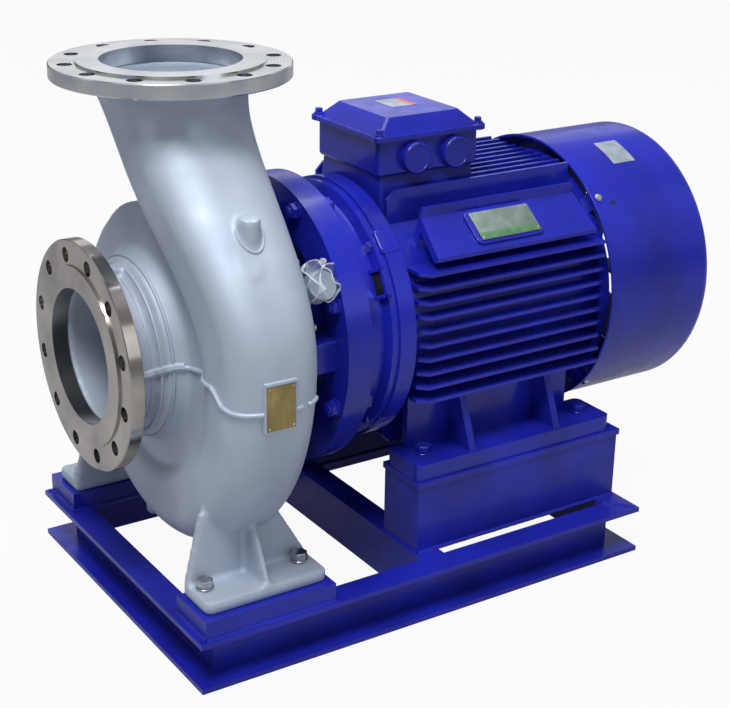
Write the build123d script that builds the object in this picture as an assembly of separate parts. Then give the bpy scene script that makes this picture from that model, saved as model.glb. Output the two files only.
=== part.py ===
from build123d import *
import copy
import math
import os

# Close-coupled end-suction centrifugal pump with equal, in-line sized suction and
# discharge flanges, a foot-and-flange motor and a welded channel base.
# Built in the shaft frame: X runs along the shaft from the suction face to the fan,
# Z is up, the origin is the centre of the suction face. Lengths are in millimetres.

# Pipe flanges, DN200 PN16
FLANGE_OD = 340.0
FLANGE_THICKNESS = 24.0
FLANGE_BORE = 200.0
FLANGE_PCD = 295.0
FLANGE_HOLES = 12
FLANGE_HOLE_DIA = 22.0
FACE_DIA = 266.0
FACE_RAISE = 3.0

# Casing
CENTRE_X = 160.0
DISCHARGE_HEIGHT = 415.0
PUMP_FOOT_HEIGHT = 315.0
CASING_WALL = 9.0
NECK_OD = 212.0
NECK_COLLAR_LENGTH = 22.0
FRONT_WALL_X = 104.0
CHAMBER_RADIUS = 198.0
CHAMBER_FRONT = 130.0
CHAMBER_BACK = 222.0
BODY_RADIUS = 208.0
BACK_FACE = 236.0
BACK_RIM_RADIUS = 206.0
RUNNING_GAP = 0.3
GAUGE_BOSS_X = 145.0
GAUGE_BOSS_Y = 248.0
GAUGE_BOSS_TOP = 241.0
GAUGE_BOSS_RADIUS = 15.0
DRAIN_BOSS_X = 136.0
DRAIN_BOSS_Y = 58.0
DRAIN_BOSS_END = 310.0
DRAIN_BOSS_RADIUS = 13.0
PLATE_CENTRE_X = 151.0
PLATE_CENTRE_Z = 6.5
PLATE_LENGTH = 49.0
PLATE_HEIGHT = 72.0
PLATE_FACE_Y = 319.5
PLATE_SEAT = 10.0
NECK_LUG_FRONT = 30.0
NECK_LUG_HALF = 12.0
NECK_LUG_TOP = 128.0

# Pump feet
FOOT_FRONT = 60.0
FOOT_LENGTH = 200.0
FOOT_INNER_Y = 190.0
FOOT_OUTER_Y = 264.0
FOOT_THICKNESS = 18.0
FOOT_WEB = 12.0
FOOT_WEB_TOP = 190.0
FOOT_WEB_FRONT_INSET = 25.0
FOOT_WEB_BACK_INSET = 62.0
FOOT_RIB = 9.0
FOOT_BOLT_SPACING = 156.0
FOOT_BOLT_Y = 216.0
FOOT_HOLE_DIA = 19.0

# Impeller and shaft
IMPELLER_RADIUS = 150.0
IMPELLER_EYE = 90.0
IMPELLER_FRONT = 136.0
IMPELLER_BACK = 202.0
BLADES = 6
BLADE_THICKNESS = 6.0
HUB_RADIUS = 38.0
PUMP_SHAFT_RADIUS = 24.0
MOTOR_SHAFT_RADIUS = 30.0
SHAFT_JOINT_X = 322.0

# Cover, gland and lantern
COVER_THICKNESS = 18.0
GLAND_RADIUS = 62.0
GLAND_LENGTH = 64.0
GLAND_NOSE = 10.0
LANTERN_RING_THICKNESS = 14.0
LANTERN_RING_RADIUS = 200.0
LANTERN_RING_BORE = 110.0
LANTERN_FACE = 336.0
LANTERN_DISC_THICKNESS = 20.0
LANTERN_BORE = 159.7
STRUT_COUNT = 4
STRUT_WIDTH = 50.0
STRUT_INNER = 148.0
STRUT_OUTER = 190.0
PORT_ANGLE = 31.0
PORT_X = 292.0
PORT_RADIUS = 17.0
PORT_HEAD_RADIUS = 22.0
PORT_REACH = 222.0
PORT_HEAD = 26.0

# Motor, 225 mm centre height with a 450 mm flange
MOTOR_FOOT_HEIGHT = 225.0
MOTOR_FLANGE_DIA = 450.0
MOTOR_FLANGE_THICKNESS = 22.0
SHIELD_NECK_RADIUS = 188.0
SHIELD_RING_FRONT = 406.0
SHIELD_RING_WIDTH = 28.0
SHIELD_RING_RADIUS = 207.0
FRAME_FRONT = 450.0
FRAME_BACK = 806.0
FRAME_RADIUS = 186.0
FIN_TIP = 206.0
FIN_PITCH = 22.4
FIN_THICKNESS = 5.0
FINS_PER_SIDE = 10
FIN_START = 8.0
FIN_CHAMFER = 14.0
SIDE_PAD_FRONT = 486.0
SIDE_PAD_LENGTH = 306.0
SIDE_PAD_INNER_Y = 128.0
SIDE_PAD_TOP = 182.0
SIDE_PAD_OUTER_Y = 197.0
SIDE_PAD_LOW = 122.0
SIDE_PAD_WALL = 6.0
REAR_SHIELD_END = 838.0
COWL_FRONT = 812.0
COWL_LENGTH = 217.0
COWL_RADIUS = 224.0
COWL_SHEET = 3.0
COWL_ROUNDING = 18.0
GRILLE_RADIUS = 186.0
GRILLE_THICKNESS = 4.0
FAN_RADIUS = 175.0
FAN_FRONT = 868.0
FAN_BACK = 948.0
FAN_BLADES = 9

# Motor feet
MOTOR_FOOT_FRONT = 447.0
MOTOR_FOOT_LENGTH = 386.0
MOTOR_FOOT_SLAB = 27.0
MOTOR_FOOT_OUTER_Y = 218.0
MOTOR_FOOT_INNER_Y = 132.0
MOTOR_FOOT_WALL = 14.0
MOTOR_BOLT_Y = 178.0
MOTOR_BOLT_SPACING = 311.0
MOTOR_HOLE_DIA = 19.0
FOOT_RIB_SPACING = 168.0

# Terminal box
BOX_FRONT = 452.0
BOX_LENGTH = 184.0
BOX_WIDTH = 176.0
BOX_BOTTOM = 222.0
BOX_TOP = 278.0
LID_HEIGHT = 30.0
LID_OVERHANG = 7.0
LID_RIM = 7.0
RISER_FOOT_LENGTH = 180.0
RISER_FOOT_WIDTH = 184.0
RISER_BOTTOM = 150.0
PLUG_RADIUS = 24.0
PLUG_SPACING = 73.0
PLUG_DEPTH = 14.0

# Base frame of channels, toes outward
CHANNEL_HEIGHT = 80.0
CHANNEL_FLANGE = 43.0
CHANNEL_WEB = 6.0
CHANNEL_FLANGE_THICKNESS = 8.0
BASE_FRONT = 41.0
BASE_LENGTH = 812.0
BASE_WIDTH = 566.0
CROSS_BEAM_X = 443.0
PAD_FRONT = 52.0
PAD_LENGTH = 213.0
PAD_INNER_Y = 186.0
PAD_OUTER_Y = 277.0
PEDESTAL_FRONT = 448.0
PEDESTAL_END_INSET = 5.0
PEDESTAL_OUTER_Y = 220.0
PEDESTAL_WIDTH = 92.0
PEDESTAL_PLATE = 10.0
PEDESTAL_WALL = 8.0

# Heights and ends that follow from the sizes above
PAD_THICKNESS = 30.0
SHAFT_HEIGHT = CHANNEL_HEIGHT + PAD_THICKNESS + PUMP_FOOT_HEIGHT
BASE_TOP = CHANNEL_HEIGHT - SHAFT_HEIGHT
COWL_END = COWL_FRONT + COWL_LENGTH
LANTERN_FRONT = BACK_FACE + COVER_THICKNESS
MOTOR_FLANGE_BACK = LANTERN_FACE + MOTOR_FLANGE_THICKNESS
COVER_FIT_RADIUS = CHAMBER_RADIUS - RUNNING_GAP
PEDESTAL_LENGTH = BASE_FRONT + BASE_LENGTH - PEDESTAL_END_INSET - PEDESTAL_FRONT


def polar_y(angle, radius):
    return radius * math.sin(math.radians(angle))


def polar_z(angle, radius):
    return radius * math.cos(math.radians(angle))


def ring(outer, inner, x_start, x_end):
    """Flat or long ring about the shaft axis between two stations."""
    shape = Plane.YZ.offset(x_start) * Circle(outer)
    if inner:
        shape -= Plane.YZ.offset(x_start) * Circle(inner)
    return extrude(shape, x_end - x_start)


def turned(points):
    """Solid turned about the shaft axis from (station, radius) corners."""
    corners = [(x, 0, r) for x, r in points]
    return revolve(make_face(Polyline(*corners, close=True)), Axis.X)


def block(x_range, y_range, z_range):
    """Rectangular block between three pairs of limits."""
    size = [high - low for low, high in (x_range, y_range, z_range)]
    middle = [(high + low) / 2 for low, high in (x_range, y_range, z_range)]
    return Pos(*middle) * Box(*size)


def far_side(shape):
    return mirror(shape, Plane.XZ)


def vertical_rod(x, y, z_low, z_high, radius):
    return Pos(x, y, (z_low + z_high) / 2) * Cylinder(radius, z_high - z_low)


def pipe_flange():
    """Drilled flange with a raised face, its face on z = 0 and the pipe below."""
    disc = Pos(0, 0, -FACE_RAISE) * extrude(Circle(FLANGE_OD / 2), FACE_RAISE - FLANGE_THICKNESS)
    disc = chamfer(disc.edges().filter_by(GeomType.CIRCLE), 1.5)
    disc += extrude(Circle(FACE_DIA / 2), -FACE_RAISE - 1)
    disc -= extrude(Circle(FLANGE_BORE / 2), -FLANGE_THICKNESS)
    step = 360 / FLANGE_HOLES
    holes = PolarLocations(FLANGE_PCD / 2, FLANGE_HOLES, start_angle=step / 2)
    return disc - holes * extrude(Circle(FLANGE_HOLE_DIA / 2), -FLANGE_THICKNESS)


# Scroll sections: angle from the top towards the far side, outer radius, half width
SCROLL = [(38, 209, 40), (90, 246, 48), (135, 278, 55), (180, 296, 61), (225, 306, 66), (270, 313, 69)]
SCROLL_INNER = 176.0
SCROLL_CORNER = 0.36
# Discharge neck sections: height, middle y, half depth, half width
NECK = [(90, -226, 80, 70), (170, -164, 96, 76), (250, -84, 101, 85), (320, -27, 97, 93)]


def scroll_section(angle, outer, half_width, wall):
    inner = SCROLL_INNER + wall
    reach = outer - wall
    middle = (inner + reach) / 2
    half = half_width - wall
    depth = reach - inner
    place = Plane(
        origin=(CENTRE_X, polar_y(angle, middle), polar_z(angle, middle)),
        x_dir=(1, 0, 0),
        z_dir=(0, -polar_z(angle, 1), polar_y(angle, 1)),
    )
    corner = SCROLL_CORNER * min(2 * half, depth)
    return place * RectangleRounded(2 * half, depth, corner)


def neck_section(height, middle_y, half_depth, half_width, wall):
    place = Plane(origin=(CENTRE_X, middle_y, height), x_dir=(1, 0, 0), z_dir=(0, 0, -1))
    width = 2 * (half_width - wall)
    depth = 2 * (half_depth - wall)
    share = 0.62 + 0.3 * height / DISCHARGE_HEIGHT
    return place * RectangleRounded(width, depth, share * min(width, depth) / 2)


def scroll_and_neck(wall):
    """Smooth body that grows round the shaft and bends up to the discharge collar."""
    top = DISCHARGE_HEIGHT - FLANGE_THICKNESS - NECK_COLLAR_LENGTH
    rim = NECK_OD / 2 - 3
    sections = [scroll_section(*row, wall) for row in SCROLL]
    sections += [neck_section(*row, wall) for row in NECK]
    sections += [neck_section(top, 0, rim, rim, wall)]
    return loft([section.face() for section in sections])


def pump_foot():
    """Foot plate with its lengthwise web and the thin rib across it, near side."""
    x_end = FOOT_FRONT + FOOT_LENGTH
    low = -PUMP_FOOT_HEIGHT
    top = low + FOOT_THICKNESS
    plate = block((FOOT_FRONT, x_end), (-FOOT_OUTER_Y, -FOOT_INNER_Y), (low, top))
    plate = fillet(plate.edges().filter_by(Axis.Z), 14)
    web_top = -FOOT_WEB_TOP
    corners = [(FOOT_FRONT, low), (x_end, low), (x_end, top), (x_end - FOOT_WEB_BACK_INSET, web_top)]
    corners += [(FOOT_FRONT + FOOT_WEB_FRONT_INSET, web_top), (FOOT_FRONT, top)]
    outline = make_face(Polyline(*[(x, -FOOT_INNER_Y, z) for x, z in corners], close=True))
    web = extrude(outline, FOOT_WEB, dir=(0, -1, 0))
    rib_x = CENTRE_X - FOOT_RIB / 2
    rim = [(-FOOT_INNER_Y, low), (-FOOT_OUTER_Y, low), (-FOOT_OUTER_Y, top), (-213, -200)]
    rim += [(-FOOT_INNER_Y, -200)]
    outline = make_face(Polyline(*[(rib_x, y, z) for y, z in rim], close=True))
    rib = extrude(outline, FOOT_RIB, dir=(1, 0, 0))
    foot = plate + web + rib
    for side in (-1, 1):
        x = CENTRE_X + side * FOOT_BOLT_SPACING / 2
        foot -= vertical_rod(x, -FOOT_BOLT_Y, low - 1, top + 1, FOOT_HOLE_DIA / 2)
    return foot


def suction_neck():
    """Stepped neck between the suction flange and the front wall of the casing."""
    neck = turned([
        (FLANGE_THICKNESS, 0), (FLANGE_THICKNESS, NECK_OD / 2 + 6), (68, NECK_OD / 2 + 8), (68, 122),
        (76, 122), (76, 131), (86, 134), (FRONT_WALL_X, 146), (FRONT_WALL_X, 0),
    ])
    neck += block((NECK_LUG_FRONT, 70), (-NECK_LUG_HALF, NECK_LUG_HALF), (100, NECK_LUG_TOP))
    return neck - ring(FLANGE_BORE / 2, 0, 0, FRONT_WALL_X)


def discharge_collar():
    top = DISCHARGE_HEIGHT - FLANGE_THICKNESS
    collar = extrude(Circle(NECK_OD / 2) - Circle(FLANGE_BORE / 2), -NECK_COLLAR_LENGTH)
    return Pos(CENTRE_X, 0, top) * collar


def volute_casing():
    body = turned([
        (FRONT_WALL_X, 0), (FRONT_WALL_X, 146), (114, 190), (116, BODY_RADIUS), (228, BODY_RADIUS),
        (228, BACK_RIM_RADIUS), (BACK_FACE, BACK_RIM_RADIUS), (BACK_FACE, 0),
    ])
    body += scroll_and_neck(0)
    foot = pump_foot()
    body += foot
    body += far_side(foot)
    body += vertical_rod(GAUGE_BOSS_X, -GAUGE_BOSS_Y, 150, GAUGE_BOSS_TOP, GAUGE_BOSS_RADIUS)
    body += vertical_rod(DRAIN_BOSS_X, DRAIN_BOSS_Y, -DRAIN_BOSS_END, -260, DRAIN_BOSS_RADIUS)
    body -= scroll_and_neck(CASING_WALL)
    body -= turned([
        (0, 0), (0, FLANGE_BORE / 2), (FRONT_WALL_X, FLANGE_BORE / 2), (118, IMPELLER_EYE + 4),
        (CHAMBER_FRONT, IMPELLER_EYE + 4), (CHAMBER_FRONT, CHAMBER_RADIUS - 12),
        (CHAMBER_FRONT + 6, CHAMBER_RADIUS), (BACK_FACE, CHAMBER_RADIUS), (BACK_FACE, 0),
    ])
    return body


def casing_plate(casing):
    """Blank plate and its holder, seated on the near bulge of the casing."""
    half = PLATE_LENGTH / 2
    low = PLATE_CENTRE_Z - PLATE_HEIGHT / 2
    x_range = (PLATE_CENTRE_X - half, PLATE_CENTRE_X + half)
    blank = block(x_range, (-PLATE_FACE_Y, PLATE_SEAT - PLATE_FACE_Y), (low, low + PLATE_HEIGHT))
    return fillet(blank.edges().filter_by(Axis.Y), 2) - casing


def suction_flange():
    return Rot(0, -90, 0) * pipe_flange()


def discharge_flange():
    return Pos(CENTRE_X, 0, DISCHARGE_HEIGHT) * pipe_flange()


def impeller():
    """Closed impeller: back plate with hub, conical front shroud, swept-back blades."""
    plate = ring(IMPELLER_RADIUS, PUMP_SHAFT_RADIUS + RUNNING_GAP, IMPELLER_BACK - 6, IMPELLER_BACK)
    hub = ring(HUB_RADIUS, PUMP_SHAFT_RADIUS + RUNNING_GAP, 158, IMPELLER_BACK)
    shroud = turned([
        (IMPELLER_FRONT, IMPELLER_EYE - 5), (IMPELLER_FRONT, IMPELLER_EYE), (150, IMPELLER_EYE + 4),
        (172, IMPELLER_RADIUS), (178, IMPELLER_RADIUS), (156, IMPELLER_EYE + 2), (144, IMPELLER_EYE - 5),
    ])
    space = turned([
        (150, HUB_RADIUS - 1), (150, IMPELLER_EYE - 2), (175, IMPELLER_RADIUS - 1),
        (IMPELLER_BACK - 5, IMPELLER_RADIUS - 1), (IMPELLER_BACK - 5, HUB_RADIUS - 1),
    ])
    start = (-46, 0)
    middle = (-104, 30)
    end = (-118, 96)
    spine = Wire([Edge.make_three_point_arc(Vector(*start, 0), Vector(*middle, 0), Vector(*end, 0))])
    blade = Plane.YZ.offset(140) * make_face(spine.offset_2d(BLADE_THICKNESS / 2).edges())
    blade = extrude(blade, 70) & space
    wheel = plate + hub + shroud
    for index in range(BLADES):
        wheel += Rot(360 / BLADES * index, 0, 0) * blade
    return wheel


def impeller_nut():
    nut = Plane.YZ.offset(134) * RegularPolygon(26, 6)
    return extrude(nut, 24)


def pump_shaft():
    shaft = ring(PUMP_SHAFT_RADIUS, 0, 158, SHAFT_JOINT_X)
    return shaft + ring(PUMP_SHAFT_RADIUS + 6, 0, IMPELLER_BACK, 222)


def casing_cover():
    plug = ring(COVER_FIT_RADIUS, 0, CHAMBER_BACK, BACK_FACE)
    disc = ring(BACK_RIM_RADIUS, 0, BACK_FACE, LANTERN_FRONT)
    return plug + disc - ring(PUMP_SHAFT_RADIUS + RUNNING_GAP, 0, CHAMBER_BACK, LANTERN_FRONT)


def seal_gland():
    end = LANTERN_FRONT + GLAND_LENGTH
    body = ring(GLAND_RADIUS, PUMP_SHAFT_RADIUS + RUNNING_GAP, LANTERN_FRONT, end - GLAND_NOSE)
    return body + ring(GLAND_RADIUS - 16, PUMP_SHAFT_RADIUS + RUNNING_GAP, end - GLAND_NOSE, end)


def lantern_bracket():
    """Ring on the cover, disc on the motor, and the struts that join them."""
    front = LANTERN_FRONT
    disc_front = LANTERN_FACE - LANTERN_DISC_THICKNESS
    body = ring(LANTERN_RING_RADIUS, LANTERN_RING_BORE, front, front + LANTERN_RING_THICKNESS)
    body += ring(MOTOR_FLANGE_DIA / 2, LANTERN_BORE, disc_front, LANTERN_FACE)
    half = STRUT_WIDTH / 2
    strut = block((front, LANTERN_FACE - 5), (-half, half), (STRUT_INNER, STRUT_OUTER))
    strut = fillet(strut.edges().filter_by(Axis.X), 6)
    for index in range(STRUT_COUNT):
        body += Rot(360 / STRUT_COUNT * index, 0, 0) * strut
    return body - ring(LANTERN_BORE, 0, disc_front, LANTERN_FACE)


def flush_port():
    """Short radial stub from the gland out through the near window."""
    start = GLAND_RADIUS - 5
    stub = Pos(0, 0, start) * extrude(Circle(PORT_RADIUS), PORT_REACH - start)
    stub += Pos(0, 0, PORT_REACH - PORT_HEAD) * extrude(Circle(PORT_HEAD_RADIUS), PORT_HEAD)
    placed = Pos(PORT_X, 0, 0) * Rot(90 - PORT_ANGLE, 0, 0) * stub
    return placed - ring(GLAND_RADIUS, 0, LANTERN_FRONT, LANTERN_FACE)


def motor_front_shield():
    flange_back = MOTOR_FLANGE_BACK
    rings = SHIELD_RING_FRONT
    raised = rings + 12
    raised_end = raised + SHIELD_RING_WIDTH
    bore = MOTOR_SHAFT_RADIUS + RUNNING_GAP
    body = turned([
        (LANTERN_FACE, bore), (LANTERN_FACE, MOTOR_FLANGE_DIA / 2), (flange_back, MOTOR_FLANGE_DIA / 2),
        (flange_back, SHIELD_NECK_RADIUS + 6), (flange_back + 6, SHIELD_NECK_RADIUS),
        (rings - 6, SHIELD_NECK_RADIUS), (rings, SHIELD_RING_RADIUS - 4), (raised, SHIELD_RING_RADIUS - 4),
        (raised, SHIELD_RING_RADIUS), (raised_end, SHIELD_RING_RADIUS), (raised_end, SHIELD_RING_RADIUS - 7),
        (FRAME_FRONT, SHIELD_RING_RADIUS - 7), (FRAME_FRONT, bore),
    ])
    return body


def fin_offsets():
    first = -(FINS_PER_SIDE - 1) / 2
    return [(first + index) * FIN_PITCH for index in range(FINS_PER_SIDE)]


def side_pad():
    """Upright edge and sloping plate between the top fins and the near side fins."""
    inner = -SIDE_PAD_INNER_Y
    outer = -SIDE_PAD_OUTER_Y
    wall = SIDE_PAD_WALL
    step = SIDE_PAD_TOP - 15
    rim = [
        (inner, SIDE_PAD_TOP), (inner - wall, SIDE_PAD_TOP), (inner - wall, step), (outer, SIDE_PAD_LOW),
        (outer, SIDE_PAD_LOW - wall), (outer + wall, SIDE_PAD_LOW - wall - 2), (inner - 2 * wall, step - 18),
        (inner - 2 * wall, 100), (inner, 100),
    ]
    outline = make_face(Polyline(*[(SIDE_PAD_FRONT, y, z) for y, z in rim], close=True))
    pad = extrude(outline, SIDE_PAD_LENGTH, dir=(1, 0, 0))
    back = SIDE_PAD_FRONT + SIDE_PAD_LENGTH
    slope = [(SIDE_PAD_FRONT - 4, 100), (back, 100), (back, SIDE_PAD_TOP), (SIDE_PAD_FRONT + 16, SIDE_PAD_TOP)]
    side_view = make_face(Polyline(*[(x, 0, z) for x, z in slope], close=True))
    return pad & extrude(side_view, SIDE_PAD_OUTER_Y + 1, dir=(0, -1, 0))


def motor_frame():
    """Cast barrel with level fins on the sides, upright fins above and below, and side pads."""
    body = ring(FRAME_RADIUS, 0, FRAME_FRONT, FRAME_BACK)
    cut = FIN_CHAMFER
    start = FRAME_FRONT + FIN_START
    outline = [
        (start, 0), (start, FIN_TIP - cut), (start + cut, FIN_TIP),
        (FRAME_BACK, FIN_TIP), (FRAME_BACK, 0),
    ]
    outline += [(x, -y) for x, y in reversed(outline[1:-1])]
    sheet = make_face(Polyline(*outline, close=True))
    fin = extrude(sheet, FIN_THICKNESS / 2, both=True)
    fins = [Pos(0, 0, offset) * fin for offset in fin_offsets()]
    upright = Rot(90, 0, 0) * fin
    fins += [Pos(0, offset, 0) * upright for offset in fin_offsets()]
    body += fins
    pad = side_pad()
    body += pad
    body += far_side(pad)
    return body - ring(MOTOR_SHAFT_RADIUS + RUNNING_GAP, 0, FRAME_FRONT, FRAME_BACK)


def motor_rear_shield():
    bore = MOTOR_SHAFT_RADIUS + RUNNING_GAP
    body = ring(SHIELD_RING_RADIUS - 4, bore, FRAME_BACK, REAR_SHIELD_END - 14)
    body += ring(150, bore, REAR_SHIELD_END - 14, REAR_SHIELD_END)
    lug_low = COWL_FRONT + 1
    lug_end = REAR_SHIELD_END - 14
    lug = block((lug_low, lug_end), (-14, 14), (180, COWL_RADIUS))
    lug &= ring(COWL_RADIUS - COWL_SHEET - RUNNING_GAP, 0, lug_low, lug_end)
    for index in range(4):
        body += Rot(45 + 90 * index, 0, 0) * lug
    return body


def motor_shaft():
    return ring(MOTOR_SHAFT_RADIUS, 0, SHAFT_JOINT_X, FAN_BACK)


def cooling_fan():
    bore = MOTOR_SHAFT_RADIUS + RUNNING_GAP
    wheel = ring(FAN_RADIUS * 0.8, bore, FAN_FRONT, FAN_FRONT + 5)
    wheel += ring(MOTOR_SHAFT_RADIUS + 16, bore, FAN_FRONT, FAN_BACK - 6)
    blade = block((FAN_FRONT, FAN_BACK - 10), (-2.5, 2.5), (MOTOR_SHAFT_RADIUS + 12, FAN_RADIUS))
    for index in range(FAN_BLADES):
        wheel += Rot(360 / FAN_BLADES * index, 0, 0) * blade
    return wheel


def fan_cowl():
    """Sheet barrel with a rolled rear edge round the grille."""
    outer = ring(COWL_RADIUS, 0, COWL_FRONT, COWL_END)
    outer = fillet(outer.edges().sort_by(Axis.X)[-1], COWL_ROUNDING)
    inner = ring(COWL_RADIUS - COWL_SHEET, 0, COWL_FRONT - 1, COWL_END - COWL_SHEET)
    inner = fillet(inner.edges().sort_by(Axis.X)[-1], COWL_ROUNDING - COWL_SHEET)
    return outer - inner - ring(GRILLE_RADIUS, 0, COWL_FRONT, COWL_END + 1)


def cowl_grille():
    """Rear guard: a rim, three hoops and radial bars."""
    x_end = COWL_END
    x_start = COWL_END - GRILLE_THICKNESS
    guard = ring(GRILLE_RADIUS, GRILLE_RADIUS - 8, x_start, x_end)
    for share in (0.3, 0.55, 0.78):
        guard += ring(GRILLE_RADIUS * share, GRILLE_RADIUS * share - 7, x_start, x_end)
    bar = block((x_start, x_end), (-4, 4), (GRILLE_RADIUS * 0.3 - 4, GRILLE_RADIUS - 4))
    for index in range(12):
        guard += Rot(30 * index, 0, 0) * bar
    return guard


def motor_foot():
    """Near motor foot: slab, lengthwise wall and ribs up to the barrel."""
    low = -MOTOR_FOOT_HEIGHT
    top = low + MOTOR_FOOT_SLAB
    x_end = MOTOR_FOOT_FRONT + MOTOR_FOOT_LENGTH
    slab = block((MOTOR_FOOT_FRONT, x_end), (-MOTOR_FOOT_OUTER_Y, -MOTOR_FOOT_INNER_Y), (low, top))
    corners = slab.edges().filter_by(Axis.Z)
    slab = fillet(corners, 12)
    wall_y = -MOTOR_FOOT_INNER_Y - 8
    wall = block((FRAME_FRONT + 20, FRAME_BACK - 20), (wall_y - MOTOR_FOOT_WALL, wall_y), (top - 1, -90))
    foot = slab + wall
    middle = MOTOR_FOOT_FRONT + MOTOR_FOOT_LENGTH / 2
    rim = [(wall_y, top - 1), (-MOTOR_FOOT_OUTER_Y + 4, top - 1), (-MOTOR_FOOT_OUTER_Y + 6, top), (-176, -110)]
    rim += [(wall_y, -110)]
    for x in (middle - FOOT_RIB_SPACING / 2, middle + FOOT_RIB_SPACING / 2):
        outline = make_face(Polyline(*[(x - 6, y, z) for y, z in rim], close=True))
        foot += extrude(outline, 12, dir=(1, 0, 0))
    foot -= ring(FRAME_RADIUS, 0, FRAME_FRONT - 10, FRAME_BACK + 10)
    for side in (-1, 1):
        x = middle + side * MOTOR_BOLT_SPACING / 2
        foot -= vertical_rod(x, -MOTOR_BOLT_Y, low - 1, top + 1, MOTOR_HOLE_DIA / 2)
    return foot


def tapered_block(x_low, length_low, width_low, z_low, x_high, length_high, width_high, z_high, corner):
    lower = Pos(x_low + length_low / 2, 0, z_low) * RectangleRounded(length_low, width_low, corner)
    upper = Pos(x_high + length_high / 2, 0, z_high) * RectangleRounded(length_high, width_high, corner)
    return loft([lower.face(), upper.face()])


def terminal_riser():
    foot_x = BOX_FRONT + 4
    body = tapered_block(foot_x, RISER_FOOT_LENGTH, RISER_FOOT_WIDTH, RISER_BOTTOM, BOX_FRONT + 6, BOX_LENGTH - 12,
                         BOX_WIDTH - 14, BOX_BOTTOM, 6)
    return body - motor_frame()


def terminal_box():
    x_end = BOX_FRONT + BOX_LENGTH
    body = block((BOX_FRONT, x_end), (-BOX_WIDTH / 2, BOX_WIDTH / 2), (BOX_BOTTOM, BOX_TOP))
    body = fillet(body.edges().filter_by(Axis.Z), 10)
    return fillet(body.faces().sort_by(Axis.Z)[0].edges(), 7)


def terminal_lid():
    over = LID_OVERHANG
    x_low = BOX_FRONT - over
    length = BOX_LENGTH + 2 * over
    width = BOX_WIDTH + 2 * over
    middle = BOX_FRONT + BOX_LENGTH / 2
    rim = Pos(middle, 0, BOX_TOP) * extrude(RectangleRounded(length, width, 12), LID_RIM)
    inset = 26
    hood = tapered_block(x_low + 7, length - 14, width - 14, BOX_TOP + LID_RIM, x_low + inset + 7,
                         length - 2 * inset - 14, width - 2 * inset, BOX_TOP + LID_HEIGHT, 6)
    return rim + hood


def cable_plugs():
    middle = BOX_FRONT + BOX_LENGTH / 2
    height = (BOX_BOTTOM + BOX_TOP) / 2 - 1
    plugs = []
    for side in (-1, 1):
        plug = extrude(Circle(PLUG_RADIUS), PLUG_DEPTH)
        plug = fillet(plug.edges().sort_by(Axis.Z)[-1], 3)
        x = middle + 6 + side * PLUG_SPACING / 2
        plugs.append(Pos(x, -BOX_WIDTH / 2, height) * Rot(90, 0, 0) * plug)
    return Compound(children=plugs)


def channel(length, z_low, z_high):
    """Channel along +X from 0, web on y = 0, toes towards -Y, ends square."""
    web = block((0, length), (-CHANNEL_WEB, 0), (z_low, z_high))
    lower = block((0, length), (-CHANNEL_FLANGE, 0), (z_low, z_low + CHANNEL_FLANGE_THICKNESS))
    upper = block((0, length), (-CHANNEL_FLANGE, 0), (z_high - CHANNEL_FLANGE_THICKNESS, z_high))
    return web + lower + upper


def corner_wedge(length):
    """Plan shape that mitres both ends of an outer beam at 45 degrees."""
    depth = length / 2
    face = make_face(Polyline((0, 0, 0), (length, 0, 0), (depth, depth, 0), close=True))
    return extrude(face, SHAFT_HEIGHT + 1, dir=(0, 0, -1))


def outer_beam(length):
    """Mitred channel with its toes on y = 0 from x = 0, web set back."""
    beam = Pos(0, CHANNEL_FLANGE, 0) * channel(length, -SHAFT_HEIGHT, BASE_TOP)
    return beam & corner_wedge(length)


def long_beam_near():
    return Pos(BASE_FRONT, -BASE_WIDTH / 2, 0) * outer_beam(BASE_LENGTH)


def pump_end_beam():
    return Pos(BASE_FRONT, BASE_WIDTH / 2, 0) * Rot(0, 0, -90) * outer_beam(BASE_WIDTH)


def motor_end_beam():
    return Pos(BASE_FRONT + BASE_LENGTH, -BASE_WIDTH / 2, 0) * Rot(0, 0, 90) * outer_beam(BASE_WIDTH)


def middle_cross_beam():
    span = BASE_WIDTH - 2 * CHANNEL_FLANGE
    beam = channel(span, -SHAFT_HEIGHT, BASE_TOP)
    return Pos(CROSS_BEAM_X, -span / 2, 0) * Rot(0, 0, 90) * beam


def pump_pad():
    low = BASE_TOP
    return block((PAD_FRONT, PAD_FRONT + PAD_LENGTH), (-PAD_OUTER_Y, -PAD_INNER_Y), (low, -PUMP_FOOT_HEIGHT))


def motor_pedestal():
    """Welded box under the near motor foot with a thick top plate."""
    x_end = PEDESTAL_FRONT + PEDESTAL_LENGTH
    plate_low = -MOTOR_FOOT_HEIGHT - PEDESTAL_PLATE
    outer_y = -PEDESTAL_OUTER_Y
    inner_y = outer_y + PEDESTAL_WIDTH
    wall = PEDESTAL_WALL
    body = block((PEDESTAL_FRONT, x_end), (outer_y, inner_y), (BASE_TOP, plate_low))
    body -= block((PEDESTAL_FRONT + wall, x_end - wall), (outer_y + wall, inner_y - wall), (BASE_TOP, plate_low))
    plate = block((PEDESTAL_FRONT - 2, x_end + 3), (outer_y - 3, inner_y + 3), (plate_low, -MOTOR_FOOT_HEIGHT))
    return body + plate


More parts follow.
